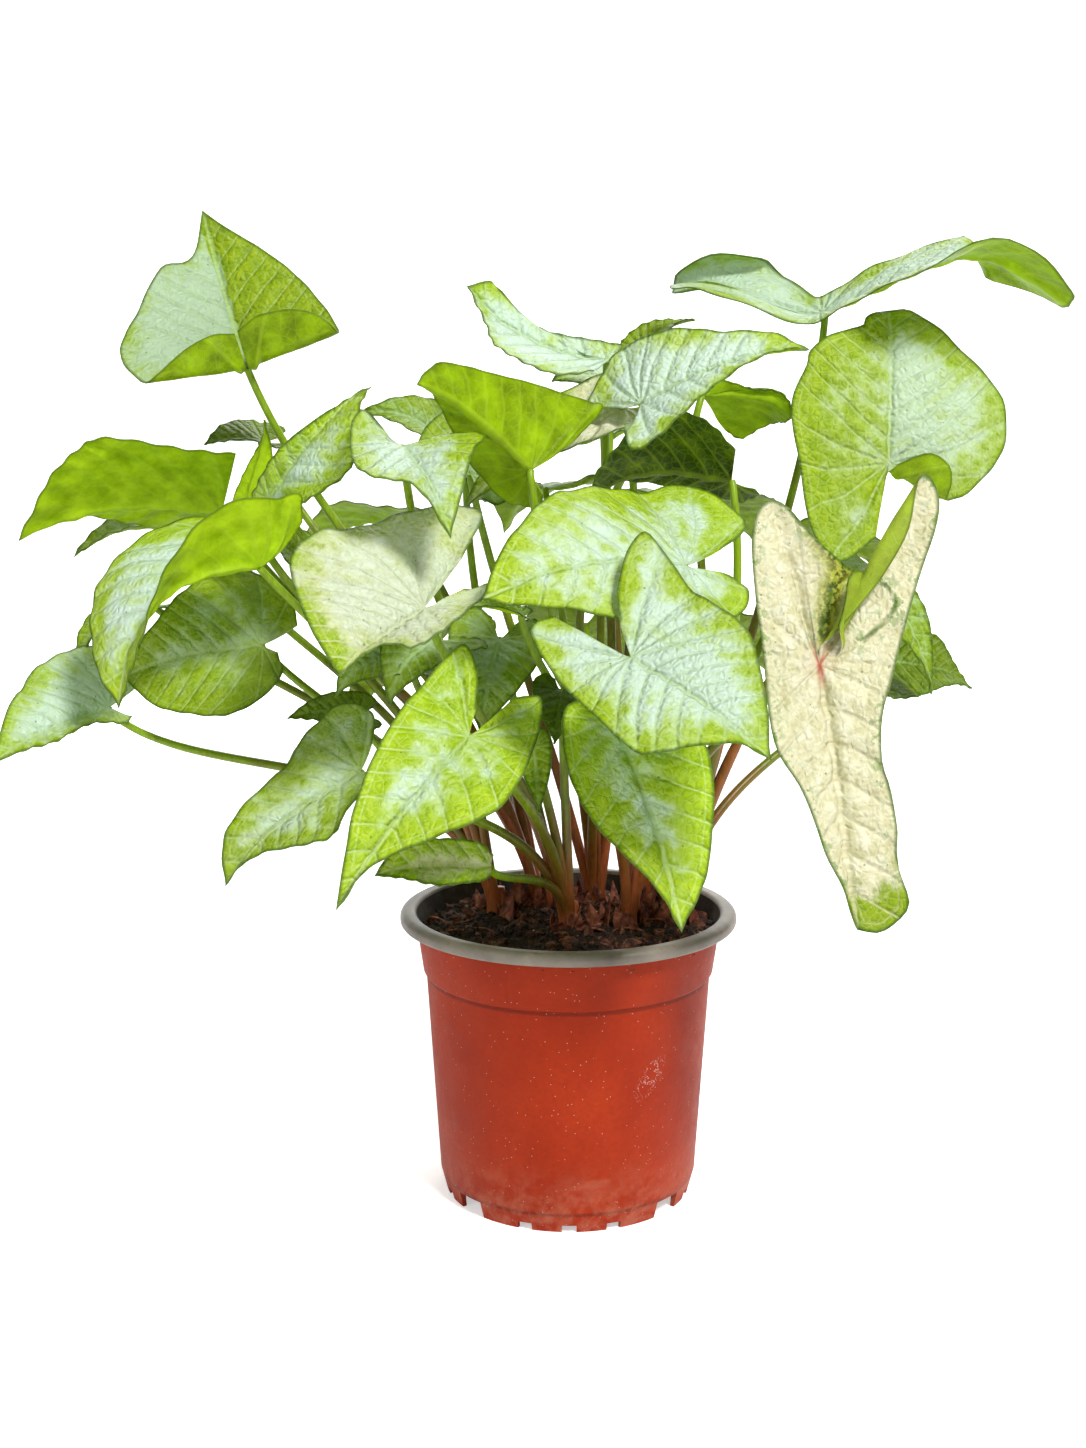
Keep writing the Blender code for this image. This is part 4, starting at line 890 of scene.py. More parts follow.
    Leaf("rear_right", "back", (50, 75, 245), (88, 130, 222), (0.3, 0.45, 0.8), width=26, lobe=22),
    Leaf("rear_low_left", "left", (-50, 70, 190), (-92, 104, 152), (-0.4, 0.6, 0.6), width=22, lobe=20),
    Leaf("rear_low", "back", (8, 84, 196), (6, 128, 150), (0, 0.75, 0.6), width=24, lobe=20),
    Leaf("rear_low_right", "back", (62, 66, 192), (108, 98, 158), (0.4, 0.6, 0.6), width=22, lobe=20),
    Leaf(
        "rear_top", "back", (14, 68, 270), (34, 126, 268), (0, 0.2, 0.95), width=22, lobe=18,
        bow=(0, -8, 5), tone=(0.6, 0.65, 0.1, 0.8),
    ),
    Leaf("rear_far_right", "right", (92, 50, 232), (140, 84, 205), (0.4, 0.3, 0.8), width=22, lobe=18),
)


def unit(vector):
    """The vector at a length of one."""
    return np.asarray(vector, float) / np.linalg.norm(vector)


def leaf_frame(leaf):
    """The blade's length, the way it runs, its upper side's normal, and its right."""
    run = np.subtract(leaf.tip, leaf.joint).astype(float)
    length = np.linalg.norm(run)
    run = run / length
    face = np.array(leaf.face, float)
    normal = unit(face - face.dot(run) * run)
    return length, run, normal, np.cross(run, normal)


# The stalks: fleshy leaf stalks, round and a little grooved, which leave their shoot's crown in a
# sheath. They are red-brown at the foot and turn olive, then yellow-green, up to the blade's joint.
CROWN_RADIUS = 5.2
CROWN_TAPER = 0.72
CROWN_FOOT = 86.0
CROWN_TOP = 107.0
STALK_BASE_RADIUS = 2.0
STALK_TOP_RADIUS = 1.3
STALK_SPREAD = 2.6
FOOT_SPREAD = 1.25
STALK_SINK = 5.0
STALK_LEAN = 0.25
STALK_RISE = 0.42
STALK_ARRIVAL = 0.3
ARRIVAL_FROM_UNDER = 0.7
ARRIVAL_FORWARD = 0.2
SOLID_BLADE = 0.7
JOINT_CLEARANCE = 0.4
JOINT_DEPTH = 0.5
STALK_STEPS = 44
STALK_SIDES = 14
TINT_SPREAD = 0.26


def stalk_route(leaf):
    """The stalk's middle line in millimetres, from inside the crown into the blade's joint."""
    centre = np.array((*CROWNS[leaf.shoot], 0.0))
    joint = np.array(leaf.joint, float)
    _, run, normal, _ = leaf_frame(leaf)
    away = unit(joint[:2] - centre[:2])
    base = centre + (*(away * STALK_SPREAD), CROWN_TOP - STALK_SINK)
    span = joint - base
    distance = np.linalg.norm(span)
    arrival = unit(unit(span) + ARRIVAL_FROM_UNDER * normal + ARRIVAL_FORWARD * run)
    lean = STALK_TOP_RADIUS * math.sqrt(max(0.0, 1 - float(arrival.dot(normal)) ** 2))
    end = joint - normal * (SOLID_BLADE / 2 + JOINT_CLEARANCE + lean)
    first = base + unit((*(away * STALK_LEAN), 1)) * distance * STALK_RISE
    second = end - arrival * distance * STALK_ARRIVAL
    t = np.linspace(0, 1, STALK_STEPS)[:, None]
    route = (1 - t) ** 3 * base + 3 * (1 - t) ** 2 * t * first + 3 * (1 - t) * t**2 * second + t**3 * end
    route += 16 * t**2 * (1 - t) ** 2 * np.array(leaf.bow, float)
    foot = centre + (*(away * STALK_SPREAD * FOOT_SPREAD), CROWN_FOOT)
    return np.vstack((foot, (foot + base) / 2, route, joint - normal * JOINT_DEPTH))


# Fleshy leaf stalk: a smooth, slightly waxy skin over wet tissue. Fibres 1 mm wide and 9 mm long
# show as streaks, and the red-brown of the foot fades upwards at a different height on each stalk.
stalk_skin, tree = new_material("Fleshy leaf stalk, waxy skin")
place = add(tree, "ShaderNodeTexCoord", out="Object")
along, tint = (
    add(tree, "ShaderNodeAttribute", out="Fac", attribute_name=name) for name in ("along", "tint")
)
mottle = add(tree, "ShaderNodeTexNoise", {"Vector": place, "Scale": 120.0, "Detail": 6.0, "Roughness": 0.6})
ripeness = add(tree, "ShaderNodeMapRange", {0: mottle, 1: 0.25, 2: 0.75, 3: -0.12, 4: 0.12})
for share in (along, tint):
    ripeness = add(tree, "ShaderNodeMath", {0: ripeness, 1: share}, operation="ADD")
stops = ((0.0, "#B05A30"), (0.2, "#B86238"), (0.45, "#84521F"), (0.68, "#646414"), (1.0, "#7E9E10"))
skin = add(tree, "ShaderNodeValToRGB", {0: ripeness}, stops=stops)
fibres = add(tree, "ShaderNodeMapping", {"Vector": place, "Scale": (1.0, 1.0, 0.12)})
fibres = add(tree, "ShaderNodeTexNoise", {"Vector": fibres, "Scale": 900.0, "Detail": 3.0})
streak = add(tree, "ShaderNodeMapRange", {0: fibres, 1: 0.4, 2: 0.75, 3: 0.0, 4: 0.4})
skin = add(tree, "ShaderNodeMix", {"Factor": streak, 6: skin, 7: linear("#4A2E10")}, **COLOUR_MIX)
relief = add(tree, "ShaderNodeBump", {"Height": fibres, "Strength": 0.3, "Distance": 0.0003})
look = {"Base Color": skin, "Roughness": 0.36, "Normal": relief, "Specular IOR Level": 0.35}
surface = add(tree, "ShaderNodeBsdfPrincipled", look)
add(tree, "ShaderNodeOutputMaterial", {"Surface": surface})

# A skin drawn over each middle line: a round section that thins from foot to joint.
skin_inputs = {
    "Middle lines": "Geometry",
    "Foot radius": "Float",
    "Joint radius": "Float",
    "Sides": "Int",
    "Tint spread": "Float",
    "Seed": "Int",
    "Finish": "Material",
}
skinning, given, skin_sockets = node_group("Stalk skin", skin_inputs, "Stalks")
way = add(skinning, "GeometryNodeSplineParameter", out="Factor")
stalk_number = add(skinning, "GeometryNodeInputIndex")
tint = {"Max": given["Tint spread"], "ID": stalk_number, "Seed": given["Seed"]}
tint = add(skinning, "FunctionNodeRandomValue", tint, out=1, data_type="FLOAT")
lines = given["Middle lines"]
for name, value, domain in (("along", way, "POINT"), ("tint", tint, "CURVE")):
    stored = {"Geometry": lines, "Name": name, "Value": value}
    kind = "GeometryNodeStoreNamedAttribute"
    lines = add(skinning, kind, stored, data_type="FLOAT", domain=domain)
girth = {0: way, 1: 0.0, 2: 1.0, 3: given["Foot radius"], 4: given["Joint radius"]}
girth = add(skinning, "ShaderNodeMapRange", girth)
section = add(skinning, "GeometryNodeCurvePrimitiveCircle", {"Resolution": given["Sides"], "Radius": 1.0})
drawn = {"Curve": lines, "Profile Curve": section, "Scale": girth, "Fill Caps": True}
drawn = add(skinning, "GeometryNodeCurveToMesh", drawn)
drawn = add(skinning, "GeometryNodeRealizeInstances", {"Geometry": drawn})
drawn = add(skinning, "GeometryNodeSetMaterial", {"Geometry": drawn, "Material": given["Finish"]})
add(skinning, "NodeGroupOutput", {"Stalks": drawn})

# The crown of a shoot: the swollen, knobbly foot that its leaf stalks grow from, half in the mix.
# Crown and stalks grew as one, so they are one piece.
CROWN_CORE = 0.86
CROWN_RINGS = 14
CROWN_TURNS = 28


def crown_mesh(centre, seed):
    """A knobbly cone in millimetres from under the mix to the fork of the stalks, closed at both ends."""
    points, faces = [], []
    for i in range(CROWN_RINGS + 1):
        t = i / CROWN_RINGS
        level = CROWN_FOOT + (CROWN_TOP - CROWN_FOOT) * t
        taper = 1 + (CROWN_TAPER - 1) * t
        for j in range(CROWN_TURNS):
            angle = 2 * math.pi * j / CROWN_TURNS
            ribs = 0.05 * math.cos(5 * angle + seed) + 0.04 * math.cos(3 * angle - 1.7 * seed + 2 * t)
            rings = 0.03 * math.cos(2 * math.pi * 3 * t + seed)
            radius = CROWN_CORE * CROWN_RADIUS * taper * (0.97 + ribs + rings - max(0, t - 0.7))
            x, y = centre[0] + radius * math.cos(angle), centre[1] + radius * math.sin(angle)
            points.append((x, y, level))
    for i in range(CROWN_RINGS):
        for j in range(CROWN_TURNS):
            a, b = i * CROWN_TURNS + j, i * CROWN_TURNS + (j + 1) % CROWN_TURNS
            faces.append((a, b, b + CROWN_TURNS, a + CROWN_TURNS))
    faces.append(tuple(reversed(range(CROWN_TURNS))))
    faces.append(tuple(range(CROWN_RINGS * CROWN_TURNS, (CROWN_RINGS + 1) * CROWN_TURNS)))
    return points, faces


for number, (shoot, centre) in enumerate(CROWNS.items()):
    line = bpy.data.curves.new("Stalks_" + shoot, "CURVE")
    line.dimensions = "3D"
    for leaf in LEAVES:
        if leaf.shoot != shoot:
            continue
        route = stalk_route(leaf) * MM
        spline = line.splines.new("POLY")
        spline.points.add(len(route) - 1)
        spline.points.foreach_set("co", np.column_stack((route, np.ones(len(route)))).ravel())
    guide = bpy.data.objects.new("Stalks_" + shoot, line)
    bpy.context.scene.collection.objects.link(guide)
    values = {
        "Foot radius": STALK_BASE_RADIUS * MM,
        "Joint radius": STALK_TOP_RADIUS * MM,
        "Sides": STALK_SIDES,
        "Tint spread": TINT_SPREAD,
        "Seed": number,
        "Finish": stalk_skin,
    }
    stalk_mesh = grown(guide, skinning, skin_sockets, values)
    bpy.data.objects.remove(guide, do_unlink=True)
    points, faces = crown_mesh(centre, 2.1 * number)
    bm = bmesh.new()
    bm.from_mesh(stalk_mesh)
    corners = [bm.verts.new(Vector(point) * MM) for point in points]
    for face in faces:
        bm.faces.new([corners[i] for i in face])
    bm.normal_update()
    bm.to_mesh(stalk_mesh)
    bm.free()
    stalks = make_mesh_object("Stalks_" + shoot, stalk_mesh, [])
    stalk_mesh.shade_smooth()
    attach(stalks, "root")
    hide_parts("shoot_" + shoot)

# The dry sheaths: papery brown flakes that older leaf stalks left standing round each shoot's foot,
# curled as they dried and half sunk in the mix.
SHEATH_STEPS = 5
SHEATH_THICKNESS = 0.05
SHEATH_RING = (2.5, 9.5)
SHEATH_RING_STEPS = 24
SHEATHS_PER_SQUARE_METRE = 52000.0
SHEATH_SMALLEST = (3.0, 3.0, 4.5)
SHEATH_LARGEST = (7.0, 6.0, 13.0)
SHEATH_TILT = 0.55
SHEATH_SEED = 31

# The flake: a thin curled sheet one unit tall, narrower to its tip, with its border closed
points, faces = [], []
for layer in (0, SHEATH_THICKNESS):
    for i in range(SHEATH_STEPS + 1):
        t = i / SHEATH_STEPS
        width = 0.5 * (1 - t**2.2) + 0.04
        for j in range(SHEATH_STEPS + 1):
            s = 2 * j / SHEATH_STEPS - 1
            bend = 0.35 * t**2 + 0.22 * s**2 * (1 - 0.5 * t) + 0.05 * math.sin(7 * t + 2 * s)
            points.append((s * width, bend + layer, t - 0.12))
row = SHEATH_STEPS + 1
for i in range(SHEATH_STEPS):
    for j in range(SHEATH_STEPS):
        a = i * row + j
        faces.append((a, a + 1, a + row + 1, a + row))
faces += [tuple(corner + row * row for corner in reversed(face)) for face in faces]
border = [*range(row), *range(2 * row - 1, row * row, row)]
border += [*range(row * row - 2, row * row - row - 1, -1), *range(row * row - 2 * row, 0, -row)]
for a, b in zip(border, border[1:] + border[:1]):
    faces.append((b, a, a + row * row, b + row * row))
flake_mesh = bpy.data.meshes.new("dry flake")
flake_mesh.from_pydata(points, [], faces)
flake = make_mesh_object("dry flake", flake_mesh, [])

# Each crown has a ring round it on the mix, and its flakes are strewn on that
flake_form = (flake, SHEATHS_PER_SQUARE_METRE, SHEATH_SMALLEST, SHEATH_LARGEST, SHEATH_TILT)
for number, (shoot, centre) in enumerate(CROWNS.items()):
    ring_points, ring_faces = [], []
    corners = 2 * SHEATH_RING_STEPS
    for i in range(SHEATH_RING_STEPS):
        angle = 2 * math.pi * i / SHEATH_RING_STEPS
        for radius in SHEATH_RING:
            x, y = centre[0] + radius * math.cos(angle), centre[1] + radius * math.sin(angle)
            ring_points.append((x * MM, y * MM, mix_surface(x, y) * MM))
        ring_faces.append((2 * i, 2 * i + 1, (2 * i + 3) % corners, (2 * i + 2) % corners))
    ring_mesh = bpy.data.meshes.new("Dry_sheaths_" + shoot)
    ring_mesh.from_pydata(ring_points, [], ring_faces)
    sheaths = strewn_bits("Dry_sheaths_" + shoot, ring_mesh, *flake_form, SHEATH_SEED + number, straw)
    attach(sheaths, "root")
    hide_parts("shoot_" + shoot)
bpy.data.objects.remove(flake, do_unlink=True)

# The leaves: thin soft blades with a waxy bloom, each on its own stalk. Most are silver-white along
# the veins and green between them and towards the edge, a few are cream, and all are a lively
# yellow-green beneath. Each blade keeps the place, the outline and the bend of its solid.
BLADE_THICKNESS = 0.42
RIB_SWELL = 1.6
RIB_SWELL_WIDTH = 0.9
PLAIN_WIDTH = 0.36
PLAIN_LOBE = 0.3
SAG_WIDTH = 30.0
LOBE_SPAN = 25.0
CURL_START = 0.62
UNFOLDED_AT = 0.8
WAVES = 9.0
SPOKES_PER_MM = 0.85
FEWEST_SPOKES = 18
MOST_SPOKES = 60
FIRST_SPOKE = 0.008
RINGS_PER_SPOKE = 0.44
LAST_RING = 0.985
VEINS_PER_SIDE = 7
LEAST_VEIN_SPACING = 3.6
SMALLEST_GAP = 0.3
LARGEST_GAP = 14.0
VEIN_GAP_SHARE = 0.85
VEIN_SLANT = 0.62
VEIN_BEND = 0.0075
BASAL_VEIN_TURN = 26.0
LOBE_RIB_TAPER = 1.6
LOBE_RIB_THINNING = 0.012
QUILT = 0.75
QUILT_EDGE = 5.0
QUILT_GAP = 7.0
RIB_GROOVE_WIDTH = 1.8
RIB_GROOVE_EDGE = 3.0
JOINT_FLAT = 7.0
LEAF_LUMP_HEIGHT = 0.8
LEAF_LUMPS_PER_MM = 0.07
MARGIN_RIPPLE = 0.4
MARGIN_RIPPLES = 61.0
TIP_GREEN_FROM = 0.7
TIP_GREEN = 0.35
CREAM_TIP_GREEN = 4.0
TIP_MIDDLE = 0.02
SINUS_STAIN_FROM = 0.72
SINUS_STAIN_RISE = 10.0
PATTERN_SHIFT = 0.37


def vein_lines(tree, flat, rib, wander_scale, wander_detail, wander_by, vein_edges, rib_edges):
    """How far the nearest side vein is, in millimetres, and a mask of side veins and ribs.

    The veins wander a little off their even spacing. Each mask is full up to the first of its two
    edges, in millimetres from the vein's middle, and gone past the second.
    """
    wander = {"Vector": flat, "Scale": wander_scale, "Detail": wander_detail}
    wander = add(tree, "ShaderNodeTexNoise", wander)
    wander = add(tree, "ShaderNodeMapRange", {0: wander, 1: 0.2, 2: 0.8, 3: -wander_by, 4: wander_by})
    count, gap = (
        add(tree, "ShaderNodeAttribute", out="Fac", attribute_name=name)
        for name in ("vein count", "vein gap")
    )
    away = add(tree, "ShaderNodeMath", {0: count, 1: wander}, operation="ADD")
    away = add(tree, "ShaderNodeMath", {0: away, 1: 0.5}, operation="PINGPONG")
    away = add(tree, "ShaderNodeMath", {0: away, 1: gap}, operation="MULTIPLY")
    masks = []
    for distance, (full, gone) in ((away, vein_edges), (rib, rib_edges)):
        drawn = {0: distance, 1: full, 2: gone, 3: 1.0, 4: 0.0}
        masks.append(add(tree, "ShaderNodeMapRange", drawn, **SMOOTH))
    return away, add(tree, "ShaderNodeMath", {0: masks[0], 1: masks[1]}, operation="MAXIMUM")


def finish_leaf(tree, colour, gloss, relief, specular, light_through, share_through):
    """The surface of a leaf's side: its skin, and the tinted lamplight that passes through the blade."""
    look = {"Base Color": colour, "Roughness": gloss, "Normal": relief, "Specular IOR Level": specular}
    skin = add(tree, "ShaderNodeBsdfPrincipled", look)
    tinted = {"Factor": 1.0, 6: colour, 7: linear(light_through)}
    tinted = add(tree, "ShaderNodeMix", tinted, blend_type="MULTIPLY", **COLOUR_MIX)
    glow = add(tree, "ShaderNodeBsdfTranslucent", {"Color": tinted, "Normal": relief})
    surface = add(tree, "ShaderNodeMixShader", {0: share_through, 1: skin, 2: glow})
    add(tree, "ShaderNodeOutputMaterial", {"Surface": surface})


# Waxy variegated leaf, upper side: living leaf skin with a thin wax bloom. Pale silver lies over the
# veins, green shows between them in clouds of 16 mm and patches of 4 mm, and a net of pale veins
# with meshes of 2 mm covers all of it. The flat map is in centimetres, so a scale of 5 is 2 mm.
upper_skin, tree = new_material("Waxy variegated leaf, upper side")
flat = add(tree, "ShaderNodeUVMap", uv_map="Flat leaf in centimetres")
upper_fields = ("silver", "cream", "light", "rib distance", "edge distance", "joint distance", "sinus stain")
silver, cream, light, rib, edge, joint_away, sinus = (
    add(tree, "ShaderNodeAttribute", out="Fac", attribute_name=name) for name in upper_fields
)
vein_away, main_vein = vein_lines(
    tree,
    flat,
    rib,
    wander_scale=0.5,
    wander_detail=1.0,
    wander_by=0.12,
    vein_edges=(0.12, 0.5),
    rib_edges=(0.35, 0.95),
)
hem_away = add(tree, "ShaderNodeMath", {0: edge, 1: 2.6}, operation="SUBTRACT")
hem_away = add(tree, "ShaderNodeMath", {0: hem_away}, operation="ABSOLUTE")
hem_vein = add(tree, "ShaderNodeMapRange", {0: hem_away, 1: 0.1, 2: 0.4, 3: 0.6, 4: 0.0}, **SMOOTH)
main_vein = add(tree, "ShaderNodeMath", {0: main_vein, 1: hem_vein}, operation="MAXIMUM")
net_bend = add(tree, "ShaderNodeTexNoise", {"Vector": flat, "Scale": 2.5, "Detail": 3.0}, out="Color")
net_place = {"Factor": 0.16, 4: flat, 5: net_bend}
net_place = add(tree, "ShaderNodeMix", net_place, out=1, data_type="VECTOR")
net = add(tree, "ShaderNodeTexVoronoi", {"Vector": net_place, "Scale": 4.6}, feature="DISTANCE_TO_EDGE")
net_vein = add(tree, "ShaderNodeMapRange", {0: net, 1: 0.0, 2: 0.075, 3: 1.0, 4: 0.0}, **SMOOTH)
clouds = add(tree, "ShaderNodeTexNoise", {"Vector": flat, "Scale": 0.62, "Detail": 4.0, "Roughness": 0.55})
cloud_push = add(tree, "ShaderNodeMapRange", {0: clouds, 1: 0.3, 2: 0.7, 3: -0.34, 4: 0.34}, clamp=False)
patches = add(tree, "ShaderNodeTexNoise", {"Vector": flat, "Scale": 2.4, "Detail": 6.0, "Roughness": 0.62})
patch_push = add(tree, "ShaderNodeMapRange", {0: patches, 1: 0.3, 2: 0.7, 3: -0.22, 4: 0.22}, clamp=False)
near_vein = add(tree, "ShaderNodeMapRange", {0: vein_away, 1: 0.0, 2: 4.5, 3: 0.12, 4: -0.1}, **SMOOTH)
near_rib = add(tree, "ShaderNodeMapRange", {0: rib, 1: 0.0, 2: 12.0, 3: 0.16, 4: 0.0}, **SMOOTH)
near_edge = add(tree, "ShaderNodeMapRange", {0: edge, 1: 0.0, 2: 14.0, 3: -0.46, 4: 0.08}, **SMOOTH)
amount = silver
for push in (cloud_push, patch_push, near_vein, near_rib, near_edge):
    amount = add(tree, "ShaderNodeMath", {0: amount, 1: push}, operation="ADD")
pale = add(tree, "ShaderNodeMapRange", {0: amount, 1: -0.05, 2: 0.56}, **SMOOTH)

# The green of a leaf is deep or fresh in patches. Both follow the leaf's lightness, which paints
# shade onto leaves inside and behind the plant.
stops = ((0.1, "#304600"), (0.35, "#587400"), (0.6, "#7F9D00"), (0.95, "#9CBE04"))
deep_green = add(tree, "ShaderNodeValToRGB", {0: light}, stops=stops)
stops = ((0.1, "#455C00"), (0.35, "#788E10"), (0.6, "#A4BC16"), (0.95, "#C2DC2A"))
fresh_green = add(tree, "ShaderNodeValToRGB", {0: light}, stops=stops)
green = add(tree, "ShaderNodeMapRange", {0: patches, 1: 0.36, 2: 0.66})
green = add(tree, "ShaderNodeMix", {"Factor": green, 6: deep_green, 7: fresh_green}, **COLOUR_MIX)

# The bloom goes from lime to silver-white, is dimmed by painted shade on a leaf set dark, and is
# butter-coloured on cream.
stops = ((0.25, "#A8C63C"), (0.42, "#BED870"), (0.6, "#CCE2AC"), (0.9, "#DAEEE0"))
bloom = add(tree, "ShaderNodeValToRGB", {0: amount}, stops=stops)
# Painted shade: the bloom is multiplied darker on leaves set dark, which are those inside and behind the
# plant.
stops = ((0.2, "#8A9A66"), (0.5, "#BCCB98"), (0.85, "#FFFFFF"))
painted_shade_dimming = add(tree, "ShaderNodeValToRGB", {0: light}, stops=stops)
painted_shade_dimming = {"Factor": 1.0, 6: bloom, 7: painted_shade_dimming}
bloom = add(tree, "ShaderNodeMix", painted_shade_dimming, blend_type="MULTIPLY", **COLOUR_MIX)
stops = ((0.35, "#D6CFA2"), (0.5, "#E9E3C0"), (0.65, "#F6F1DA"))
butter = add(tree, "ShaderNodeValToRGB", {0: patches}, stops=stops)
bloom = add(tree, "ShaderNodeMix", {"Factor": cream, 6: bloom, 7: butter}, **COLOUR_MIX)
blade = add(tree, "ShaderNodeMix", {"Factor": pale, 6: green, 7: bloom}, **COLOUR_MIX)

# The veins are lighter than green skin and a little darker than pale skin.
vein_show = add(tree, "ShaderNodeMath", {0: main_vein, 1: 0.55}, operation="MULTIPLY")
net_show = add(tree, "ShaderNodeMath", {0: net_vein, 1: 0.2}, operation="MULTIPLY")
vein_show = add(tree, "ShaderNodeMath", {0: vein_show, 1: net_show}, operation="MAXIMUM")
# The veins' colour follows the leaf's lightness too, so they darken with the painted shade of leaves inside
# the plant.
stops = ((0.1, "#52701C"), (0.5, "#9AB858"), (0.85, "#DDF0A8"))
veins = add(tree, "ShaderNodeValToRGB", {0: light}, stops=stops)
for mask, tint in ((pale, "#B4D088"), (cream, "#E6DDB6")):
    veins = add(tree, "ShaderNodeMix", {"Factor": mask, 6: veins, 7: linear(tint)}, **COLOUR_MIX)
blade = add(tree, "ShaderNodeMix", {"Factor": vein_show, 6: blade, 7: veins}, **COLOUR_MIX)

# On a cream leaf, green blotches at the margin, a lime stain with dark scorch beside the sinus, and a
# red blush at the joint. On every leaf, sparse green flecks and a thin dark hem.
blotches = add(tree, "ShaderNodeMapRange", {0: edge, 1: 0.0, 2: 6.0, 3: 1.0, 4: 0.0})
blotch_noise = add(tree, "ShaderNodeMapRange", {0: patches, 1: 0.53, 2: 0.58, 3: 0.0, 4: 0.85})
stain = add(tree, "ShaderNodeMapRange", {0: edge, 1: 2.0, 2: 7.0, 3: 0.9, 4: 0.0}, **SMOOTH)
scorch = add(tree, "ShaderNodeTexNoise", {"Vector": flat, "Scale": 5.0, "Detail": 4.0})
scorch = add(tree, "ShaderNodeMapRange", {0: scorch, 1: 0.44, 2: 0.54})
scorch_band = add(tree, "ShaderNodeMapRange", {0: edge, 1: 0.6, 2: 4.5, 3: 1.0, 4: 0.0})
blush = add(tree, "ShaderNodeMapRange", {0: joint_away, 1: 1.5, 2: 8.0, 3: 0.9, 4: 0.0})
blush_spread = add(tree, "ShaderNodeMapRange", {0: rib, 1: 0.3, 2: 1.4, 3: 1.0, 4: 0.15})
full_cream = add(tree, "ShaderNodeMapRange", {0: cream, 1: 0.85, 2: 1.0})
marks = []
for tint, mask, *shares in (
    ("#7C9A28", blotches, blotch_noise, cream),
    ("#BCC018", stain, sinus),
    ("#1E3406", scorch, scorch_band, sinus),
    ("#C0583C", blush, blush_spread, full_cream),
):
    for share in shares:
        mask = add(tree, "ShaderNodeMath", {0: mask, 1: share}, operation="MULTIPLY")
    marks.append((mask, tint))
flecks = add(tree, "ShaderNodeTexVoronoi", {"Vector": flat, "Scale": 1.9, "Randomness": 1.0})
flecks = add(tree, "ShaderNodeMapRange", {0: flecks, 1: 0.055, 2: 0.085, 3: 0.6, 4: 0.0})
hem = add(tree, "ShaderNodeMapRange", {0: edge, 1: 0.2, 2: 1.3, 3: 0.85, 4: 0.0}, **SMOOTH)
for mask, tint in (*marks, (flecks, "#557A10"), (hem, "#4C7006")):
    blade = add(tree, "ShaderNodeMix", {"Factor": mask, 6: blade, 7: linear(tint)}, **COLOUR_MIX)

# Veins lie in grooves, the skin swells inside the net's meshes, and green and silver differ in height.
valley = add(tree, "ShaderNodeMath", {0: vein_away, 1: rib}, operation="MINIMUM")
height = add(tree, "ShaderNodeMapRange", {0: valley, 1: 0.0, 2: 1.4, 3: -0.5, 4: 0.0}, **SMOOTH)
net_rise = add(tree, "ShaderNodeMapRange", {0: net, 1: 0.0, 2: 0.35, 3: 0.0, 4: 0.35}, **SMOOTH)
for rise in (net_rise, patch_push):
    height = add(tree, "ShaderNodeMath", {0: height, 1: rise}, operation="ADD")
relief = add(tree, "ShaderNodeBump", {"Height": height, "Strength": 0.9, "Distance": 0.001})
gloss = add(tree, "ShaderNodeMapRange", {0: patches, 1: 0.3, 2: 0.7, 3: 0.27, 4: 0.4})
finish_leaf(tree, blade, gloss, relief, specular=0.3, light_through="#E0F09A", share_through=0.26)

# Leaf underside: the same leaf without its bloom, satin and evenly yellow-green, shaded in patches of
# 8 mm, with raised veins and a net of 3 mm meshes that are paler than the blade.
under_skin, tree = new_material("Satin leaf underside")
flat = add(tree, "ShaderNodeUVMap", uv_map="Flat leaf in centimetres")
cream, light, rib, edge = (
    add(tree, "ShaderNodeAttribute", out="Fac", attribute_name=name)
    for name in ("cream", "light", "rib distance", "edge distance")
)
_, main_vein = vein_lines(
    tree,
    flat,
    rib,
    wander_scale=1.1,
    wander_detail=2.0,
    wander_by=0.14,
    vein_edges=(0.2, 0.7),
    rib_edges=(0.6, 1.5),
)
net = add(tree, "ShaderNodeTexVoronoi", {"Vector": flat, "Scale": 3.4}, feature="DISTANCE_TO_EDGE")
net_vein = add(tree, "ShaderNodeMapRange", {0: net, 1: 0.0, 2: 0.09, 3: 1.0, 4: 0.0}, **SMOOTH)
patches = add(tree, "ShaderNodeTexNoise", {"Vector": flat, "Scale": 1.3, "Detail": 5.0, "Roughness": 0.6})
shade = add(tree, "ShaderNodeMapRange", {0: patches, 1: 0.3, 2: 0.7, 3: -0.18, 4: 0.18})
# The leaf's lightness darkens the underside as painted shade on leaves inside the plant, and the patches
# vary at random.
shade = add(tree, "ShaderNodeMath", {0: light, 1: shade}, operation="ADD")
stops = ((0.1, "#2C4400"), (0.3, "#425F00"), (0.55, "#7C9800"), (0.8, "#A2C600"), (1.0, "#C6E61C"))
blade = add(tree, "ShaderNodeValToRGB", {0: shade}, stops=stops)
butter = add(tree, "ShaderNodeMath", {0: cream, 1: 0.4}, operation="MULTIPLY")
vein_show = add(tree, "ShaderNodeMath", {0: main_vein, 1: 0.22}, operation="MULTIPLY")
net_show = add(tree, "ShaderNodeMath", {0: net_vein, 1: 0.16}, operation="MULTIPLY")
vein_show = add(tree, "ShaderNodeMath", {0: vein_show, 1: net_show}, operation="MAXIMUM")
hem = add(tree, "ShaderNodeMapRange", {0: edge, 1: 0.15, 2: 0.9, 3: 0.7, 4: 0.0}, **SMOOTH)
for mask, tint in ((butter, "#C4D05C"), (vein_show, "#C6E040"), (hem, "#557400")):
    blade = add(tree, "ShaderNodeMix", {"Factor": mask, 6: blade, 7: linear(tint)}, **COLOUR_MIX)
height = add(tree, "ShaderNodeMath", {0: vein_show, 1: shade}, operation="ADD")
relief = add(tree, "ShaderNodeBump", {"Height": height, "Strength": 0.5, "Distance": 0.0006})
finish_leaf(tree, blade, 0.42, relief, specular=0.2, light_through="#E4F590", share_through=0.36)


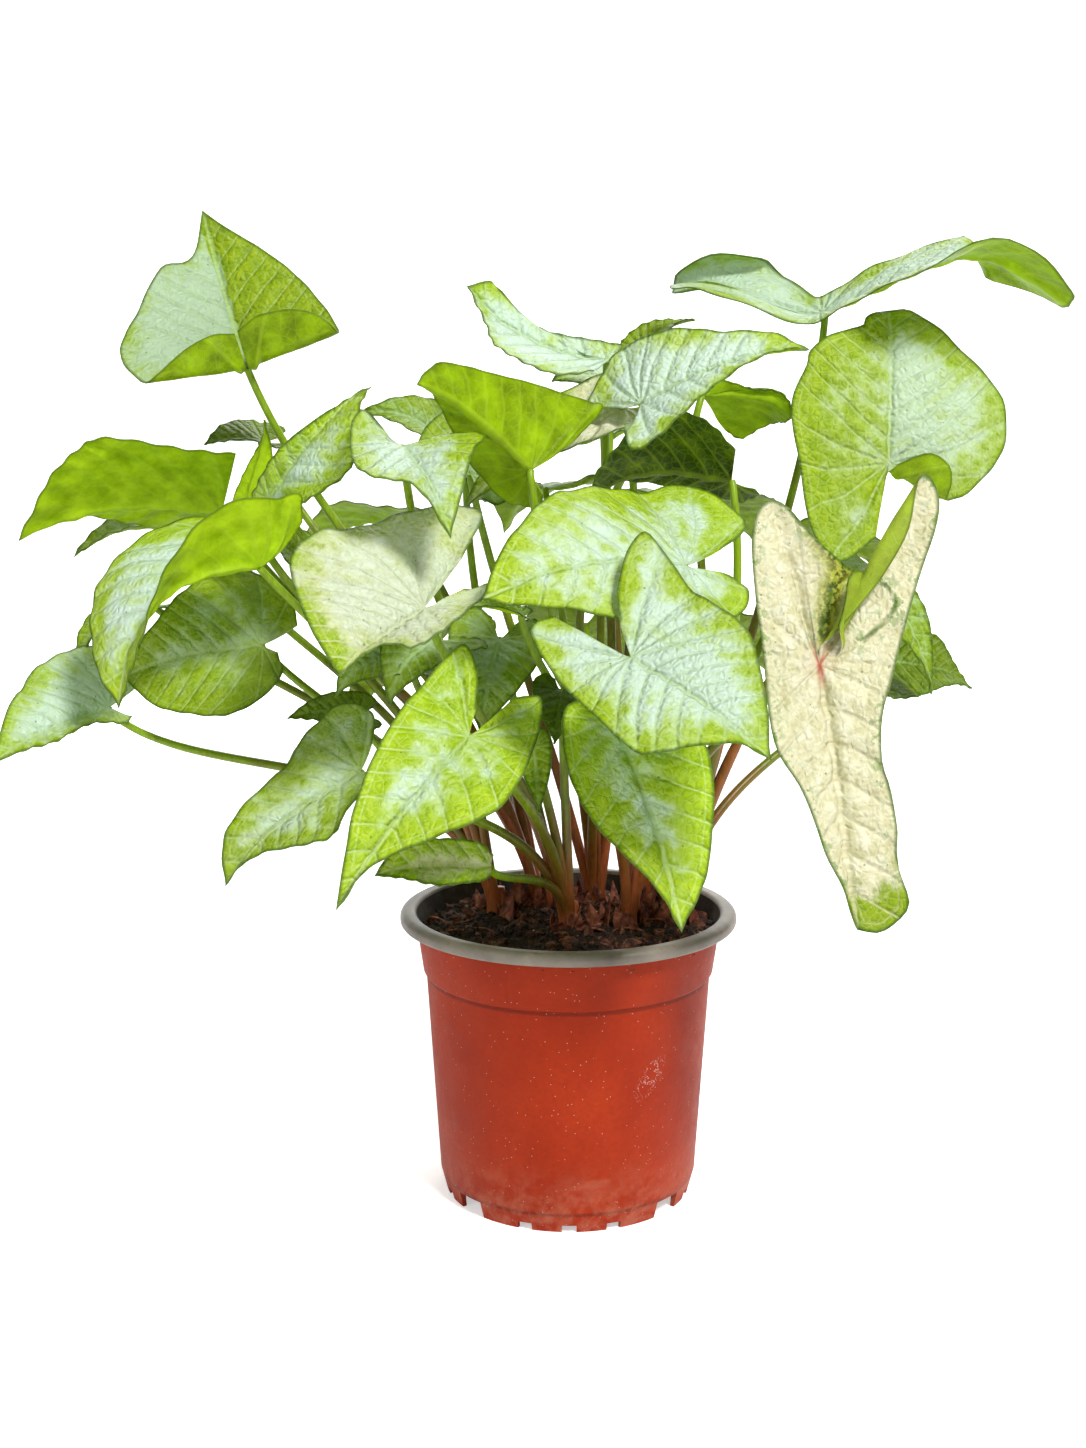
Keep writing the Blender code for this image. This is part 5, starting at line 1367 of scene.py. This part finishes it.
def half_margin(leaf, side):
    """One half of the flat margin as points (along, across), from the tip to the sinus."""
    length = leaf_frame(leaf)[0]
    points = leaf.left if side < 0 else leaf.right
    if not points:
        width = leaf.width or PLAIN_WIDTH * length
        lobe = leaf.lobe or PLAIN_LOBE * length
        points = (
            (0.86 * length, 0.15 * width),
            (0.62 * length, 0.52 * width),
            (0.3 * length, 0.88 * width),
            (-0.05 * length, width),
            (-0.7 * lobe, 0.85 * width),
            (-lobe, 0.55 * width),
            (-0.75 * lobe, 0.25 * width),
        )
    return np.array(((length, 0.0), *points), float)


def smooth_through(points, at):
    """A curve through the points, read at each value from 0 to 1."""
    padded = np.vstack((2 * points[0] - points[1], points, 2 * points[-1] - points[-2]))
    spans = np.linalg.norm(np.diff(points, axis=0), axis=1) ** 0.5
    knots = np.concatenate(([0], np.cumsum(spans))) / spans.sum()
    at = np.asarray(at, float)
    i = np.clip(np.searchsorted(knots, at, side="right") - 1, 0, len(points) - 2)
    u = ((at - knots[i]) / (knots[i + 1] - knots[i]))[..., None]
    a, b, c, d = padded[i], padded[i + 1], padded[i + 2], padded[i + 3]
    return 0.5 * (2 * b + (c - a) * u + (2 * a - 5 * b + 4 * c - d) * u**2 + (3 * b - a - 3 * c + d) * u**3)


def roll_up(leaf, along, across, side):
    """Draws flat points in past each roll's line, and gives how far they rise off the blade."""
    raised = np.zeros_like(along)
    for roll_side, roll_along, roll_across, heading, radius, turn in leaf.rolls:
        forward, sideways = math.cos(math.radians(heading)), math.sin(math.radians(heading))
        past = (along - roll_along) * forward + (across * side - roll_across) * sideways
        reached = (side * roll_side >= 0) & ((along < 0) == (roll_along <= 0))
        past = np.where(reached, np.clip(past, 0, None), 0)
        turned_by = np.minimum(past / radius, math.radians(abs(turn)))
        beyond = past - radius * turned_by
        drawn_in = radius * np.sin(turned_by) + beyond * np.cos(turned_by) - past
        along = along + drawn_in * forward
        across = across + drawn_in * sideways * side
        risen = radius * (1 - np.cos(turned_by)) + beyond * np.sin(turned_by)
        raised = raised + math.copysign(1, turn) * risen
    return along, across, raised


def bend_blade(leaf, along, across, side, margin_at, reach):
    """Places flat points of the blade: arched along the midrib, folded at it, and waved at the margin."""
    length, run, normal, right = leaf_frame(leaf)
    along, across, raised = roll_up(leaf, along, across, side)
    ahead = np.clip(along / length, 0, None)
    behind = np.clip(along / length, None, 0)
    lift = np.where(side < 0, *leaf.lift)
    lobe_reach = -behind * length / LOBE_SPAN
    tip_reach = np.clip((ahead - CURL_START) / (1 - CURL_START), 0, 1)
    rise = leaf.arch * 4 * (ahead * (1 - ahead) + behind / (1 - 3 * behind))
    rise += lift * lobe_reach**2 * np.exp(1 - lobe_reach) - leaf.curl * tip_reach**2
    slope = leaf.arch * 4 * np.where(along > 0, 1 - 2 * ahead, 1 / (1 - 3 * behind) ** 2) / length
    slope -= lift * (2 * lobe_reach - lobe_reach**2) * np.exp(1 - lobe_reach) / LOBE_SPAN
    slope -= leaf.curl * 2 * tip_reach / ((1 - CURL_START) * length)
    tilt = np.arctan(slope)[..., None]
    opened = np.clip((ahead - leaf.unfold_from) / (UNFOLDED_AT - leaf.unfold_from), 0, 1)
    fold = np.where(side < 0, *leaf.fold) - np.where(side < 0, *leaf.unfold) * opened**2 * (3 - 2 * opened)
    fold = np.radians(fold) - np.where(side < 0, *leaf.sag) * across / SAG_WIDTH
    out = (across * np.cos(fold) - raised * np.sin(fold)) * side
    high = across * np.sin(fold) + raised * np.cos(fold)
    high += leaf.wave * reach**2 * np.sin(WAVES * margin_at * side)
    upward = np.cos(tilt) * normal - np.sin(tilt) * run
    return (
        np.array(leaf.joint, float)
        + along[..., None] * run
        + rise[..., None] * normal
        + out[..., None] * right
        + high[..., None] * upward
    )


def blade_grid(leaf):
    """The flat places of a blade's points, from its left sinus edge round the tip to its right one."""
    count = int(np.clip(SPOKES_PER_MM * leaf_frame(leaf)[0], FEWEST_SPOKES, MOST_SPOKES))
    spokes = np.concatenate(([0, FIRST_SPOKE], np.linspace(0, 1, count)[1:]))
    rings = np.linspace(0, 1, int(RINGS_PER_SPOKE * count) + 2)[1:]
    rings = np.insert(rings, -1, LAST_RING)
    rows = []
    for sign in (-1, 1):
        half = smooth_through(half_margin(leaf, sign), spokes)
        order = range(len(spokes) - 1, 0, -1) if sign < 0 else range(len(spokes))
        rows += [(*half[i], sign, spokes[i]) for i in order]
    rows = np.array(rows)
    reach = np.broadcast_to(rings, (len(rows), len(rings)))
    along = rows[:, :1] * reach
    across = rows[:, 1:2] * reach
    side = rows[:, 2:3] * np.ones_like(reach)
    margin_at = rows[:, 3:4] * np.ones_like(reach)
    return rows, along, across, side, margin_at, reach


def lobe_rib_angle(leaf, side):
    """The angle off the midrib, in radians, at which a lobe's own rib leaves the joint."""
    margin = half_margin(leaf, side)
    back = margin[np.argmin(margin[:, 0])]
    return math.atan2(max(back[1], 1.0), min(back[0], -1.0))


def vein_fields(leaf, along, across, side):
    """The side veins passed at each flat point, the gap between two there, and the distance to a rib."""
    length = leaf_frame(leaf)[0]
    spacing = max(length / VEINS_PER_SIDE, LEAST_VEIN_SPACING)
    bend = VEIN_BEND * across**2
    start = along - VEIN_SLANT * across - bend
    first = math.atan2(1, VEIN_SLANT)
    turn = np.arctan2(across, along - bend) - first
    span = np.hypot(along, across)
    away = np.where(along > 0, across, span)
    step = np.full_like(along, math.radians(BASAL_VEIN_TURN))
    for sign in (-1, 1):
        lobe = lobe_rib_angle(leaf, sign)
        veins = max(1, round(math.degrees(lobe - first) / BASAL_VEIN_TURN))
        here = side == sign
        step[here] = (lobe - first) / veins
        rib_away = span * np.abs(np.sin(turn + first - lobe)) * LOBE_RIB_TAPER + LOBE_RIB_THINNING * span
        rib_away = np.where(turn > 0, rib_away, span)
        away = np.where(here, np.minimum(away, rib_away), away)
    phase = np.where(start > 0, start / spacing, -turn / step)
    basal_gap = np.clip(step * span, SMALLEST_GAP, LARGEST_GAP)
    gap = np.where(start > 0, VEIN_GAP_SHARE * spacing, basal_gap)
    return phase, gap, away


def edge_distance(rows, along, across, side):
    """How far each flat point is from the margin, in millimetres."""
    margin = np.column_stack((rows[:, 0], rows[:, 1] * rows[:, 2]))
    flat = np.stack((along, across * side), -1).reshape(-1, 1, 2)
    start, step = margin[:-1], np.diff(margin, axis=0)
    t = ((flat - start) * step).sum(-1) / np.maximum((step**2).sum(-1), 1e-9)
    nearest = start + np.clip(t, 0, 1)[..., None] * step
    return np.linalg.norm(flat - nearest, axis=-1).min(1).reshape(along.shape)


def leaf_fields(leaf, rows, along, across, side, margin_at):
    """What the leaf's materials read at each of its points, the joint first and then the grid."""
    phase, gap, rib_away = vein_fields(leaf, along, across, side)
    edge_away = edge_distance(rows, along, across, side)
    # The green's lightness is partly the leaf's own tone, and partly painted shade or brightness for where
    # the leaf sits in the plant.
    left, right, cream_share, green_lightness_with_painted_shade = leaf.tone
    silver_share = np.where(side < 0, left, right)
    silver_share = np.where(margin_at < TIP_MIDDLE, (left + right) / 2, silver_share)
    to_tip = np.clip((along / leaf_frame(leaf)[0] - TIP_GREEN_FROM) / (1 - TIP_GREEN_FROM), 0, 1)
    silver_share = silver_share - TIP_GREEN * (1 + CREAM_TIP_GREEN * cream_share) * to_tip
    stain = np.clip(SINUS_STAIN_RISE * (margin_at - SINUS_STAIN_FROM), 0, 1)
    return {
        "vein count": np.append(0, phase),
        "vein gap": np.append(SMALLEST_GAP, gap),
        "rib distance": np.append(0, rib_away),
        "edge distance": np.append(edge_away[:, 0].max(), edge_away),
        "joint distance": np.append(0, np.hypot(along, across)),
        "silver": np.append((left + right) / 2, silver_share),
        "cream": np.full(along.size + 1, cream_share),
        "light": np.full(along.size + 1, green_lightness_with_painted_shade),
        "sinus stain": np.append(0, (cream_share == 1) * (side > 0) * stain),
    }


def smooth_normals(points, faces):
    """The unit normal at each point, from the faces round it."""
    corners = points[faces]
    around = np.cross(corners[:, 2] - corners[:, 0], corners[:, 3] - corners[:, 1])
    normals = np.zeros_like(points)
    for corner in range(4):
        np.add.at(normals, faces[:, corner], around)
    return normals / np.maximum(np.linalg.norm(normals, axis=1, keepdims=True), 1e-9)


def leaf_relief(leaf, fields, flat_points, ripple):
    """How far the upper skin stands off the bent sheet, in millimetres.

    It is quilted between the side veins, grooved at the ribs, softly lumpy, and rippled at the
    margin, and it is flat at the joint.
    """
    quilt = QUILT * (1 + leaf.tone[2])
    edge_away = fields["edge distance"]
    inner = np.clip(edge_away / QUILT_EDGE, 0, 1) * np.clip(fields["vein gap"] / QUILT_GAP, 0, 1)
    relief = -quilt * inner * (0.5 + 0.5 * np.cos(2 * np.pi * fields["vein count"]))
    rib_groove = np.exp(-((fields["rib distance"] / RIB_GROOVE_WIDTH) ** 2))
    relief -= quilt * rib_groove * np.clip(edge_away / RIB_GROOVE_EDGE, 0, 1)
    lumps = [noise.noise(Vector((*at, 3 * leaf.joint[0]))) for at in flat_points * LEAF_LUMPS_PER_MM]
    relief += LEAF_LUMP_HEIGHT * np.array(lumps)
    relief *= np.clip(fields["joint distance"] / JOINT_FLAT, 0, 1)
    return relief + MARGIN_RIPPLE * np.append(0, ripple)


for leaf in LEAVES:
    rows, along, across, side, margin_at, reach = blade_grid(leaf)
    fields = leaf_fields(leaf, rows, along, across, side, margin_at)
    sheet = bend_blade(leaf, along, across, side, margin_at, reach)
    sheet = np.vstack((np.array(leaf.joint, float), sheet.reshape(-1, 3)))
    total = len(sheet)

    # The upper side: a fan round the joint, then rings of four-cornered faces out to the margin
    count, rings = reach.shape
    spoke, ring = np.meshgrid(np.arange(count - 1), np.arange(rings - 1), indexing="ij")
    near = (1 + spoke * rings + ring).reshape(-1)
    upper = np.column_stack((near, near + rings, near + rings + 1, near + 1))
    first = 1 + np.arange(count - 1) * rings
    fan = np.column_stack((np.zeros_like(first), first + rings, first, first))
    normals = smooth_normals(sheet, np.vstack((upper, fan)))

    flat_points = np.column_stack((np.append(0, along), np.append(0, across * side)))
    ripple = reach**6 * np.sin(MARGIN_RIPPLES * margin_at * side + 3 * leaf.joint[0])
    relief = leaf_relief(leaf, fields, flat_points, ripple)
    swell = np.exp(-((fields["rib distance"] / RIB_SWELL_WIDTH) ** 2)) * np.append(1, 1 - reach)
    top = sheet + normals * relief[:, None]
    bottom = top - normals * (BLADE_THICKNESS * (1 + RIB_SWELL * swell))[:, None]

    # The underside mirrors the upper side, and a rim joins the two all round
    last = 1 + (count - 1) * rings
    left_sinus, right_sinus = 1 + np.arange(rings), last + np.arange(rings - 1, -1, -1)
    boundary = np.concatenate(([0], left_sinus, first[1:] + rings - 1, right_sinus))
    following = np.roll(boundary, -1)
    rim = np.column_stack((boundary, following, following + total, boundary + total))
    faces = upper.tolist() + fan[:, :3].tolist()
    upper_count = len(faces)
    faces += [[corner + total for corner in (face[0], *reversed(face[1:]))] for face in faces]
    faces += rim.tolist()
    mesh = bpy.data.meshes.new("Leaf_" + leaf.name)
    mesh.from_pydata((np.vstack((top, bottom)) * MM).tolist(), [], faces)
    piece = make_mesh_object("Leaf_" + leaf.name, mesh, (upper_skin, under_skin))
    sides = np.zeros(len(faces), np.int32)
    sides[upper_count : 2 * upper_count] = 1
    mesh.polygons.foreach_set("material_index", sides)
    for title, values in fields.items():
        attribute = mesh.attributes.new(title, "FLOAT", "POINT")
        attribute.data.foreach_set("value", np.tile(values, 2).astype(np.float32))
    flat_place = np.tile(flat_points / 10 + np.array(leaf.joint[:2]) * PATTERN_SHIFT, (2, 1))
    corner_points = np.empty(len(mesh.loops), np.int32)
    mesh.loops.foreach_get("vertex_index", corner_points)
    flat_map = mesh.uv_layers.new(name="Flat leaf in centimetres")
    flat_map.data.foreach_set("uv", flat_place[corner_points].astype(np.float32).ravel())
    mesh.shade_smooth()
    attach(piece, "root")
    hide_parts("blade_" + leaf.name)
